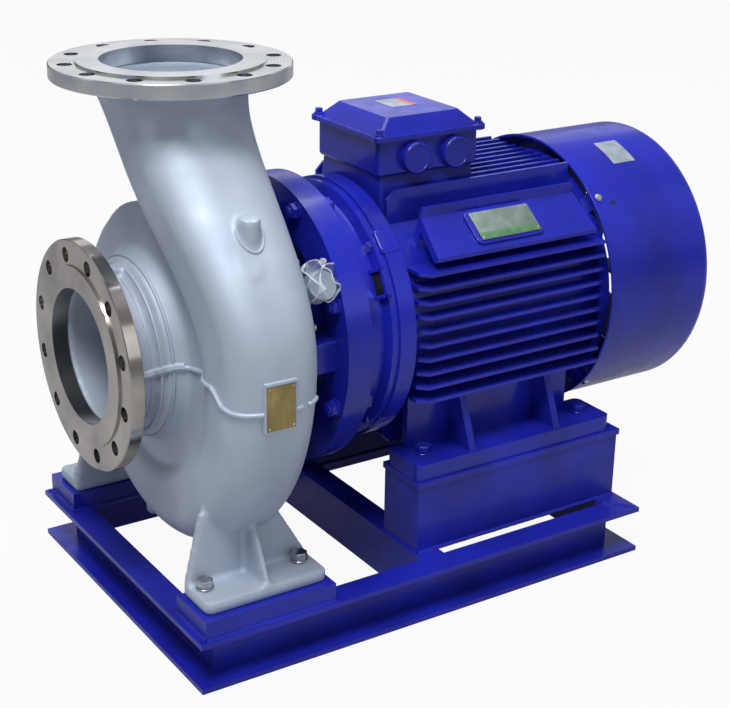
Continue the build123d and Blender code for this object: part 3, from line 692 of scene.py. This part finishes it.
# Settings
class PumpFinishSettings(bpy.types.PropertyGroup):
    """Colours of the two main finishes"""
    casting_colour: FloatVectorProperty(
        name="Casting colour", description="Colour of the blasted stainless casting", subtype="COLOR",
        size=3, min=0, max=1, default=srgb("b9c3d2")[:3])
    enamel_colour: FloatVectorProperty(
        name="Enamel colour", description="Colour of the enamel on motor, lantern and base",
        subtype="COLOR", size=3, min=0, max=1, default=srgb("1e27ac")[:3])


class PumpSizeSettings(bpy.types.PropertyGroup):
    """Sizes of the welds and bolts"""
    weld_radius: FloatProperty(
        name="Weld bead", description="Radius of the fillet welds on the base", default=0.0035,
        unit="LENGTH", min=0.001, max=0.01)
    bolt_flats: FloatProperty(
        name="Foot bolt", description="Width across flats of the foot bolts", default=0.022,
        unit="LENGTH", min=0.01, max=0.06)
    lantern_bolts: IntProperty(
        name="Lantern bolts", description="Number of bolts that join lantern and motor", default=8,
        min=4, max=16)


# Pieces
class PUMP_OT_palette(bpy.types.Operator):
    """Makes the finishes and paints the nodes of the solid model"""
    bl_idname = "pump.palette"
    bl_label = "Finishes"

    def execute(self, context):
        build_palette(context.scene.pump_finish)
        TREES["scatter"] = scatter_tree()
        TREES["bead"] = bead_tree()
        for name, node in NODES.items():
            paint_node(name, node)
        return {"FINISHED"}


def neighbour_mean(points, edges, counts):
    """Mean of each point's neighbours."""
    total = np.empty_like(points)
    first, second = edges[:, 0], edges[:, 1]
    for axis in range(3):
        values = points[:, axis]
        total[:, axis] = np.bincount(first, values[second], len(points))
        total[:, axis] += np.bincount(second, values[first], len(points))
    return total / counts[:, None]


def values_of(items, key, width, kind=np.float64):
    """Array of one value of all items of a mesh, a row for each."""
    values = np.empty(len(items) * width, dtype=kind)
    items.foreach_get(key, values)
    return values.reshape(-1, width)


def soften_casting(mesh):
    """Fills the sharp inner corners with foundry radii, then eases all edges."""
    points = values_of(mesh.vertices, "co", 3)
    edges = values_of(mesh.edges, "vertices", 2, np.int64)
    counts = np.bincount(edges.ravel(), minlength=len(points)).clip(1)
    limit = FILLET_LIMIT * MM
    for step in range(FILLET_ROUNDS):
        if step % ROUNDS_PER_NORMAL == 0:
            mesh.vertices.foreach_set("co", points.ravel())
            mesh.update()
            normals = values_of(mesh.vertices, "normal", 3)
        shift = neighbour_mean(points, edges, counts) - points
        lift = (shift * normals).sum(1)
        points += normals * (FILLET_SHARE * (lift - limit).clip(0))[:, None]
    for share in ROUNDING_SHARES * ROUNDING_ROUNDS:
        points += share * (neighbour_mean(points, edges, counts) - points)
    mesh.vertices.foreach_set("co", points.ravel())
    mesh.update()


def without_boss(mesh):
    """The casing with its plain gauge boss cut off along the slope of the neck."""
    block = placed(PLAIN_BOSS_ROOT, ALONG, NECK_SLOPE)
    cutter_mesh = mesh_from("boss cutter", lambda grid: slab(
        grid, block, (56, 120, 70), bevel=0.5, corner=1.0, low=1.5))
    draft = linked("volute.draft", mesh)
    cutter = linked("boss cutter", cutter_mesh)
    cut = draft.modifiers.new("Boss off", "BOOLEAN")
    cut.operation = "DIFFERENCE"
    cut.solver = "EXACT"
    cut.object = cutter
    trimmed = evaluated_mesh(draft)
    for piece in (draft, cutter):
        bpy.data.objects.remove(piece)
    return trimmed


def gauge_boss():
    """Round boss for a gauge on the near side of the neck."""
    x, y, top = GAUGE_BOSS
    profile = [(0, 0), (0, GAUGE_BOSS_RADIUS), (GAUGE_BOSS_DEPTH, GAUGE_BOSS_RADIUS), (GAUGE_BOSS_DEPTH, 0)]
    place = placed((x, y, top - GAUGE_BOSS_DEPTH), ALONG, UP)
    return mesh_from("gauge boss", lambda grid: turned_profile(grid, profile, place, 40))


def casting_mesh():
    """The cast nodes and the gauge boss as one skin with foundry radii."""
    whole = bmesh.new()
    whole.from_mesh(gauge_boss())
    for name in CAST_NODES:
        part = bmesh.new()
        part.from_mesh(NODES[name].data)
        bmesh.ops.remove_doubles(part, verts=part.verts, dist=1e-6)
        merged = bpy.data.meshes.new(name + ".merged")
        part.to_mesh(merged)
        part.free()
        if name == "volute_casing":
            merged = without_boss(merged)
        whole.from_mesh(merged)
        bpy.data.meshes.remove(merged)
    solid = bpy.data.meshes.new("casing_casting")
    whole.to_mesh(solid)
    whole.free()
    draft = linked("casing_casting.draft", solid)
    skin = draft.modifiers.new("Skin", "REMESH")
    skin.mode = "VOXEL"
    skin.voxel_size = VOXEL * MM
    mesh = evaluated_mesh(draft)
    bpy.data.objects.remove(draft)
    soften_casting(mesh)
    mesh.name = "casing_casting"
    return mesh


def surface_of(mesh):
    """Search tree of a mesh for setting points on its surface."""
    grid = bmesh.new()
    grid.from_mesh(mesh)
    tree = BVHTree.FromBMesh(grid)
    grid.free()
    return tree


def finely(points, step=3.0):
    """Points along a broken line, no further apart than the step."""
    fine = []
    for first, second in zip(points, points[1:]):
        first, second = Vector(first), Vector(second)
        count = max(1, math.ceil((second - first).length / step))
        fine += [first.lerp(second, index / count) for index in range(count)]
    return fine + [Vector(points[-1])]


def on_surface(tree, points, lift=0.0):
    """Shaft-frame points moved to the nearest place of a surface."""
    seated = []
    for point in finely(points):
        place, normal, _, _ = tree.find_nearest(at(*point))
        seated.append(tuple((place + normal * lift * MM - ORIGIN) / MM))
    return seated


def boss_rim():
    """Arc round the root of the gauge boss, near the sloping side of the neck."""
    rim = []
    for turn in range(150, 400, 10):
        angle = math.radians(turn)
        x = GAUGE_BOSS[0] + (GAUGE_BOSS_RADIUS + 1.5) * math.cos(angle)
        y = GAUGE_BOSS[1] + (GAUGE_BOSS_RADIUS + 1.5) * math.sin(angle)
        rim.append((x, y, NECK_SIDE[1] + (y - NECK_SIDE[0]) / NECK_RUN))
    return rim


class PUMP_OT_casting(bpy.types.Operator):
    """Makes the cast skin of the casing with its foundry radii and its parting line"""
    bl_idname = "pump.casting"
    bl_label = "Casing"

    def execute(self, context):
        mesh = casting_mesh()
        new_piece("casing_casting", mesh, "casting", CAST_NODES)
        skin = surface_of(mesh)
        parting = [on_surface(skin, line, lift=1.4) for line in (PARTING_LINE_FRONT, PARTING_LINE_BACK)]
        bead("casting_parting_line", parting, radius=3.5, ripple=0.5)
        bead("casting_neck_rib", [on_surface(skin, NECK_RIB)], radius=6.5, ripple=0.4, seed=8)
        rim = on_surface(skin, boss_rim(), lift=0.4)
        bead("gauge_boss_rim", [rim], radius=2.0, ripple=0.4, step=2.0, seed=3)
        rings = []
        for x, radius in NECK_RINGS:
            ring = circle_points(x, radius, 120)
            rings.append(ring + ring[:1])
        bead("suction_neck_rings", rings, radius=2.6, ripple=0.5, seed=6)
        marks = [on_surface(skin, line) for line in GATE_MARKS]
        bead("casting_gate_marks", marks, radius=0.9, ripple=0.5, step=2.0, seed=4)
        return {"FINISHED"}


class PUMP_OT_fasteners(bpy.types.Operator):
    """Sets the foot bolts, the lantern bolts, the casing nuts and the shield bolts"""
    bl_idname = "pump.fasteners"
    bl_label = "Fasteners"

    def execute(self, context):
        sizes = context.scene.pump_sizes
        flats = sizes.bolt_flats / MM
        foot = bolt_mesh("foot bolt", flats, head=11, washer=flats * 0.6)
        points = [at(x, y, PUMP_FOOT_TOP) for x in PUMP_BOLTS_X for y in PUMP_BOLTS_Y]
        fasteners("pump_foot_bolts", foot, points, UPRIGHT, turn=1.0, seed=3)
        points = [at(x, y, MOTOR_FOOT_TOP) for x in MOTOR_BOLTS_X for y in MOTOR_BOLTS_Y]
        fasteners("motor_foot_bolts", foot, points, UPRIGHT, "enamel", turn=1.0, seed=5)

        count = sizes.lantern_bolts
        for name, seat, radius, number, start, tilt, finish, form in (
            ("motor_flange_bolts", FLANGE_FACE, FLANGE_BOLT_RADIUS, count, 180 / count, FACING_MOTOR,
             "enamel", {"flats": 24, "head": 11, "washer": 15, "shank": 8, "tip": 5}),
            ("casing_stud_nuts", CASING_STUD_SEAT, CASING_STUD_RADIUS, 12, 15, FACING_MOTOR,
             "fastener", {"flats": 19, "head": 10, "washer": 12, "shank": 6, "tip": 6}),
            ("lantern_flange_nuts", FLANGE_BACK, FLANGE_BOLT_RADIUS, count, 180 / count, FACING_PUMP,
             "enamel", {"flats": 22, "head": 9, "washer": 14, "shank": 8, "tip": 4}),
            ("shield_bolts", SHIELD_BOLT_SEAT, SHIELD_BOLT_RADIUS, 4, 45, FACING_PUMP,
             "enamel", {"flats": 17, "head": 9, "washer": 11}),
        ):
            points = [at(*point) for point in circle_points(seat, radius, number, start)]
            fasteners(name, bolt_mesh(name + ".shape", **form), points, tilt, finish)
        return {"FINISHED"}


class PUMP_OT_plates(bpy.types.Operator):
    """Adds the blank brass plate, the blank motor plate and the foil labels"""
    bl_idname = "pump.plates"
    bl_label = "Blank plates"

    def execute(self, context):
        pin = mesh_from("plate pin", lambda grid: turned_profile(grid, PIN_PROFILE, IN_MM, 12))
        self.casing_plate(pin)
        self.motor_plate(pin)
        for name, x_limits, angles, finish in (
            ("cowl_label", (896, 942), (15.2, 30.0), "label"),
            ("cowl_mark", (846, 855), (47.5, 48.8), "recess"),
        ):
            built(name, lambda grid: arc_patch(grid, x_limits, angles, COWL_RADIUS), finish)
        x, y, z = LID_LABEL_CENTRE
        slab_piece("lid_label", placed((x, y, z), ALONG, UP), (46, 52, 0.5), "label", bevel=0.2, corner=0.5)
        slab_piece("lid_label_band", placed((x + 18, y, z + 0.45), ALONG, UP), (8, 52, 0.3), "orange",
                   bevel=0.1, corner=0.3)
        return {"FINISHED"}

    def casing_plate(self, pin):
        """Brass plate in its cast holder on the casing, with four drive pins."""
        low, high = box_mm("casing_plate")
        x, z, face = (low.x + high.x) / 2, (low.z + high.z) / 2, low.y
        length, height = high.x - low.x, high.z - low.z
        recess, drop, lip, rim = 2.4, 1.6, 5, 2.0

        def holder(grid):
            back = placed((x, high.y, z), ALONG, FRONT)
            slab(grid, back, (length, height, high.y - face - rim), corner=2.0)
            top = placed((x, face + recess, z + height / 2 - lip / 2), ALONG, FRONT)
            slab(grid, top, (length, lip, 2.2), corner=1.0)
        built("casing_plate_holder", holder, "casting", ("casing_plate",))
        slab_piece("casing_plate_brass", placed((x, face + recess, z - drop), ALONG, FRONT),
                   (length - 4, height - 8, 1.3), "brass", bevel=0.4, corner=1.2)
        points = [at(x + side * (length / 2 - 6), face + 1.3, z - drop + level * (height / 2 - 8))
                  for side in (-1, 1) for level in (-1, 1)]
        fasteners("casing_plate_pins", pin, points, FACING_FRONT)

    def motor_plate(self, pin):
        """Blank rating plate with a green band, riveted to a pad on the sloping side of the motor."""
        centre = Vector(PAD_PLATE_CENTRE)
        out = Vector(PAD_SLOPE).normalized()
        up = Vector((0, PAD_SLOPE[2], -PAD_SLOPE[1])).normalized()
        pad_base, plate_base, plate_top = -1.0, 4.0, 5.0
        slab_piece("motor_plate_pad", placed(centre + out * pad_base, ALONG, PAD_SLOPE), (128, 62, 5.0),
                   "enamel", bevel=1.6, corner=10.0, low=-1.0, segments=3)
        slab_piece("motor_plate", placed(centre + out * plate_base, ALONG, PAD_SLOPE), (112, 51, 1.0),
                   "plate", bevel=0.3, corner=1.0)
        band = placed(centre + out * plate_top - up * 18.5, ALONG, PAD_SLOPE)
        slab_piece("motor_plate_band", band, (110, 12, 0.3), "green", bevel=0.1, corner=0.5)
        rivets = [ORIGIN + (centre + out * plate_top + Vector((dx, 0, 0)) + up * dy) * MM
                  for dx in (-52, 52) for dy in (-21, 21)]
        tilt = Vector(PAD_SLOPE).to_track_quat("Z", "Y").to_euler()
        fasteners("motor_plate_rivets", pin, rivets, tuple(tilt))


class PUMP_OT_terminal_box(bpy.types.Operator):
    """Adds the corner ears and screws of the lid, its gasket and the blanking plugs"""
    bl_idname = "pump.terminal_box"
    bl_label = "Terminal box"

    def execute(self, context):
        low, high = box_mm("terminal_lid")
        inset, ear_base, ear_top, gasket_base = 9, 277.5, 286.5, 276.6
        corners = [(x, y) for x in (low.x + inset, high.x - inset) for y in (low.y + inset, high.y - inset)]

        def ears(grid):
            for x, y in corners:
                turned_profile(grid, EAR_PROFILE, placed((x, y, ear_base), ALONG, UP), 28)
        built("lid_ears", ears, "cowl")
        screw = bolt_mesh("lid screw", 10, head=6.5, washer=8)
        fasteners("lid_screws", screw, [at(x, y, ear_top) for x, y in corners], UPRIGHT, "cowl", 1.0, 7)
        middle = ((low.x + high.x) / 2, (low.y + high.y) / 2)
        slab_piece("lid_gasket", placed((*middle, gasket_base), ALONG, UP), (187, 179, 1.8), "recess",
                   bevel=0.5, corner=10.0)

        def caps(grid):
            for x in PLUGS_X:
                turned_profile(grid, PLUG_PROFILE, placed((x, PLUGS_Y, PLUGS_Z), ALONG, FRONT), 40)
        built("plug_caps", caps, "enamel", ("cable_plugs",))
        return {"FINISHED"}


class PUMP_OT_motor(bpy.types.Operator):
    """Adds the shield lugs and pocket and the lip and screws of the cowl"""
    bl_idname = "pump.motor"
    bl_label = "Motor details"

    def execute(self, context):
        def lugs(grid):
            for angle in QUARTERS:
                out = radial(angle)
                base = out * SHIELD_LUG_RADIUS
                slab(grid, placed((SHIELD_LUG_X, base.y, base.z), ALONG, out), (34, 40, 20),
                     bevel=3.0, corner=6.0, low=-8.0, segments=3)
        built("shield_lugs", lugs, "enamel")
        self.shield_pocket(placed(POCKET_CENTRE, POCKET_ACROSS, POCKET_NORMAL))
        built("cowl_lip", lambda grid: ring_strip(grid, COWL_LIP_OUTLINE, 160), "cowl")
        screw = mesh_from("cowl screw", lambda grid: turned_profile(grid, COWL_SCREW_PROFILE, IN_MM, 20))
        for number, angle in enumerate(QUARTERS, 1):
            out = radial(angle)
            seat = COWL_RADIUS - 0.2
            point = at(COWL_SCREWS_X, out.y * seat, out.z * seat)
            tilt = tuple(out.to_track_quat("Z", "Y").to_euler())
            fasteners("cowl_screw_%d" % number, screw, [point], tilt)
        return {"FINISHED"}

    def shield_pocket(self, face):
        """Cast pocket in a raised frame; its floor is a near-black slab of painted shade."""
        # The near-black slab is painted shade standing in for the depth of the pocket.
        slab_piece("shield_pocket", face, (32, 40, 2.4), "recess", bevel=0.6, corner=2.0, low=-1.0)

        def pocket_frame(grid):
            upright, level = (6, 46, 9), (38, 6, 9)
            for x, y, size in ((-16, 0, upright), (16, 0, upright), (0, -20, level), (0, 20, level)):
                slab(grid, face @ Matrix.Translation((x, y, 0)), size, bevel=1.2, corner=1.5, low=-3.0)
        built("shield_pocket_frame", pocket_frame, "enamel")


class PUMP_OT_welds(bpy.types.Operator):
    """Runs the fillet welds of the base frame, the pads and the pedestals"""
    bl_idname = "pump.welds"
    bl_label = "Welds"

    def execute(self, context):
        radius = context.scene.pump_sizes.weld_radius / MM
        top = box_mm("long_beam_near")[1].z
        paths = []
        for name in ("pump_pad_near", "pump_pad_far", "motor_pedestal_near", "motor_pedestal_far"):
            low, high = box_mm(name)
            inset = 3.0 if "pedestal" in name else 0.0
            x_low, x_high = low.x + inset, high.x - inset
            y_low, y_high = low.y + inset, high.y - inset
            paths.append([(x_low, y_low, top), (x_high, y_low, top), (x_high, y_high, top),
                          (x_low, y_high, top), (x_low, y_low, top)])
        low, high = box_mm("pump_end_beam")
        far_end = box_mm("motor_end_beam")[1].x
        mitre_start, mitre_end = 5, 43.0
        for side, y in ((1, low.y), (-1, high.y)):
            start, end = y + side * mitre_start, y + side * mitre_end
            paths.append([(low.x + mitre_start, start, top), (low.x + mitre_end, end, top)])
            paths.append([(far_end - mitre_start, start, top), (far_end - mitre_end, end, top)])
        bead("base_welds", [finely(path, 12) for path in paths], radius, ripple=1.4, finish="frame", seed=2)
        return {"FINISHED"}


class PUMP_OT_film(bpy.types.Operator):
    """Wraps the crumpled clear film round the flush port"""
    bl_idname = "pump.film"
    bl_label = "Film on the port"

    # Normals of the planes whose bent outlines are the creases
    CREASES = [(0.9, 0.3, 0.2), (-0.2, 0.8, 0.5), (0.5, -0.4, 0.8), (0.8, -0.5, -0.3)]
    CREASE_WIDTH = 0.028
    CREASE_EASE = 0.035
    # Starts of the three noises that bend them, one for each axis
    NOISE_STARTS = [(3.1, 0.4, 7.7), (12.4, -1.1, -0.2), (-2.3, 5.6, 1.8)]
    NOISE_SCALE = 1.3
    BEND = 0.55
    REACH, RIDGE, RIDGE_WIDTH, SWELL = 23.5, 8.0, 0.16, 2.0
    MILKY_FACET = 0.6
    # Where the film is drawn in behind the port, over how long, and by how much
    GATHER_START, GATHER_RUN, GATHER = 0.3, 0.5, 0.35
    PULL, RISE, STRETCH_UP = 3.0, 2.0, 1.08

    def execute(self, context):
        out = Vector((0, -math.cos(PORT_ANGLE), math.sin(PORT_ANGLE)))
        centre = Vector(PORT_MOUTH) + out * PORT_REACH
        creases = [Vector(line).normalized() for line in self.CREASES]
        starts = [Vector(start) for start in self.NOISE_STARTS]
        folds = []

        def build(grid):
            bmesh.ops.create_icosphere(grid, subdivisions=6, radius=1.0)
            for vertex in grid.verts:
                ray = vertex.co.normalized()
                wave = Vector([noise.noise(ray * self.NOISE_SCALE + start) for start in starts])
                sides = [(ray + wave * self.BEND).dot(line) for line in creases]
                off_crease = min(math.hypot(side, self.CREASE_EASE) for side in sides) - self.CREASE_EASE
                milky = math.exp(-(off_crease / self.CREASE_WIDTH) ** 2)
                folds.append(max(milky, self.MILKY_FACET * self.facet(sides)))
                along = ray.dot(out)
                reach = self.REACH + self.RIDGE * math.exp(-off_crease / self.RIDGE_WIDTH)
                reach += self.SWELL * noise.noise(ray * 2.0)
                if along < -self.GATHER_START:
                    reach *= 1.0 - self.GATHER * min(1.0, (-along - self.GATHER_START) / self.GATHER_RUN)
                offset = ray * reach + out * self.PULL * along
                offset.z = self.RISE + offset.z * self.STRETCH_UP
                vertex.co = at(*(centre + offset))
        mesh = mesh_from("port_film", build)
        mesh.attributes.new("fold", "FLOAT", "POINT").data.foreach_set("value", folds)
        film = new_piece("port_film", mesh, "film")
        return {"FINISHED"}

    def facet(self, sides):
        """How milky the facet between creases is, the same all over it."""
        number = sum(2 ** index for index, side in enumerate(sides) if side > 0)
        return noise.cell(Vector((number + 0.5, 2.5, 4.5)))


# Stage
def shown_share(tree, camera_share):
    """How much of the white each kind of ray sees: camera and clear film most, gloss a little."""
    light = add(tree, "ShaderNodeLightPath").outputs
    clear = add(tree, "ShaderNodeMath", {0: light["Is Camera Ray"], 1: light["Is Transmission Ray"]},
                operation="MAXIMUM")
    seen = add(tree, "ShaderNodeMath", {0: clear.outputs["Value"], 1: camera_share}, operation="MULTIPLY")
    gloss = add(tree, "ShaderNodeMath", {0: light["Is Glossy Ray"], 1: GLOSS_SHARE}, operation="MULTIPLY")
    return add(tree, "ShaderNodeMath", {0: seen.outputs["Value"], 1: gloss.outputs["Value"]},
               operation="MAXIMUM").outputs["Value"]


def floor_finish():
    """Pale studio floor: it keeps the shadow, and is near white where the camera sees it."""
    finish = Finish("pale studio floor", Roughness=0.9)
    finish.colour(finish.patches(400, 2), srgb("adaeb0"), srgb("b2b3b5"))
    glow = add(finish.tree, "ShaderNodeEmission", {"Color": WHITE, "Strength": 1.0})
    mixed = add(finish.tree, "ShaderNodeMixShader", {
        0: shown_share(finish.tree, FLOOR_WHITE), 1: finish.shader.outputs["BSDF"],
        2: glow.outputs["Emission"],
    })
    finish.tree.links.new(mixed.outputs["Shader"], finish.output.inputs["Surface"])
    return finish.material


class PUMP_OT_stage(bpy.types.Operator):
    """Adds the pale floor, the soft lights, the world and the camera"""
    bl_idname = "pump.stage"
    bl_label = "Stage"

    def execute(self, context):
        reach = 30.0
        corners = [(-reach, -reach, 0), (reach, -reach, 0), (reach, reach, 0), (-reach, reach, 0)]
        mesh = bpy.data.meshes.new("floor")
        mesh.from_pydata(corners, [], [(0, 1, 2, 3)])
        mesh.materials.append(floor_finish())
        linked("floor", mesh)
        self.world(context)
        self.lamps()
        self.camera(context)
        context.scene.view_settings.view_transform = "Standard"
        return {"FINISHED"}

    def world(self, context):
        """Studio dome: brighter overhead, in broad soft panels, and white to the camera."""
        world = bpy.data.worlds.new("studio")
        context.scene.world = world
        world.use_nodes = True
        tree = world.node_tree
        tree.nodes.clear()
        place = add(tree, "ShaderNodeTexCoord").outputs["Generated"]
        height = add(tree, "ShaderNodeSeparateXYZ", {"Vector": place})
        level = add(tree, "ShaderNodeMapRange", {
            "Value": height.outputs["Z"], "From Min": -0.1, "From Max": 0.9, "To Min": 0.07, "To Max": 0.55,
        })
        panels = add(tree, "ShaderNodeTexNoise", {"Vector": place, "Scale": 2.3, "Detail": 0.0})
        share = add(tree, "ShaderNodeMapRange", {
            "Value": panels.outputs["Fac"], "From Min": 0.42, "From Max": 0.56, "To Min": 0.45, "To Max": 1.5,
        })
        strength = add(tree, "ShaderNodeMath", {0: level.outputs["Result"], 1: share.outputs["Result"]},
                       operation="MULTIPLY")
        dome = add(tree, "ShaderNodeBackground", {
            "Color": srgb("e8edf6"), "Strength": strength.outputs["Value"],
        })
        white = add(tree, "ShaderNodeBackground", {"Color": WHITE, "Strength": 1.0})
        seen = add(tree, "ShaderNodeMixShader", {
            0: shown_share(tree, 1.0), 1: dome.outputs[0], 2: white.outputs[0],
        })
        add(tree, "ShaderNodeOutputWorld", {"Surface": seen.outputs["Shader"]})

    def lamps(self):
        """Soft rectangular lamps, each aimed at its target."""
        for name, point, target, size, watts in LAMPS:
            lamp = bpy.data.lights.new(name, "AREA")
            lamp.shape = "RECTANGLE"
            lamp.size, lamp.size_y = size
            lamp.energy = watts
            aim = (Vector(target) - Vector(point)).to_track_quat("-Z", "Y")
            linked(name, lamp).matrix_world = Matrix.Translation(point) @ aim.to_matrix().to_4x4()

    def camera(self, context):
        """The photograph's viewpoint, worked out from the flange bolt holes and the base corners."""
        level = math.cos(CAMERA_PITCH)
        ahead = Vector((math.sin(CAMERA_YAW) * level, math.cos(CAMERA_YAW) * level, -math.sin(CAMERA_PITCH)))
        right = Vector((math.cos(CAMERA_YAW), -math.sin(CAMERA_YAW), 0))
        down = ahead.cross(right)
        across = math.cos(CAMERA_ROLL) * right + math.sin(CAMERA_ROLL) * down
        below = -math.sin(CAMERA_ROLL) * right + math.cos(CAMERA_ROLL) * down
        camera = bpy.data.cameras.new("camera")
        camera.sensor_width = CAMERA_SENSOR
        camera.sensor_fit = "HORIZONTAL"
        camera.lens = FOCAL_PIXELS / PICTURE_WIDTH * CAMERA_SENSOR
        camera.clip_end = 60.0
        holder = linked("camera", camera)
        turn = Matrix((across, -below, -ahead)).transposed().to_4x4()
        holder.matrix_world = Matrix.Translation(at(*CAMERA_PLACE)) @ turn
        context.scene.camera = holder


class PUMP_PT_panel(bpy.types.Panel):
    """Lists the settings and the steps that dress the pump"""
    bl_label = "Pump"
    bl_idname = "PUMP_PT_panel"
    bl_space_type = "VIEW_3D"
    bl_region_type = "UI"
    bl_category = "Pump"

    def draw(self, context):
        for settings in (context.scene.pump_finish, context.scene.pump_sizes):
            for key in settings.bl_rna.properties.keys():
                if key not in {"rna_type", "name"}:
                    self.layout.prop(settings, key)
        for step in STEPS:
            self.layout.operator(step.bl_idname)


STEPS = [PUMP_OT_palette, PUMP_OT_casting, PUMP_OT_fasteners, PUMP_OT_plates, PUMP_OT_terminal_box,
         PUMP_OT_motor, PUMP_OT_welds, PUMP_OT_film, PUMP_OT_stage]
CLASSES = [PumpFinishSettings, PumpSizeSettings, *STEPS, PUMP_PT_panel]


def register():
    for item in CLASSES:
        bpy.utils.register_class(item)
    bpy.types.Scene.pump_finish = PointerProperty(type=PumpFinishSettings)
    bpy.types.Scene.pump_sizes = PointerProperty(type=PumpSizeSettings)


def unregister():
    del bpy.types.Scene.pump_sizes
    del bpy.types.Scene.pump_finish
    for item in reversed(CLASSES):
        bpy.utils.unregister_class(item)


def main():
    """Dresses the pump step by step."""
    register()
    for step in STEPS:
        group, name = step.bl_idname.split(".")
        getattr(getattr(bpy.ops, group), name)()


if __name__ == "__main__":
    main()
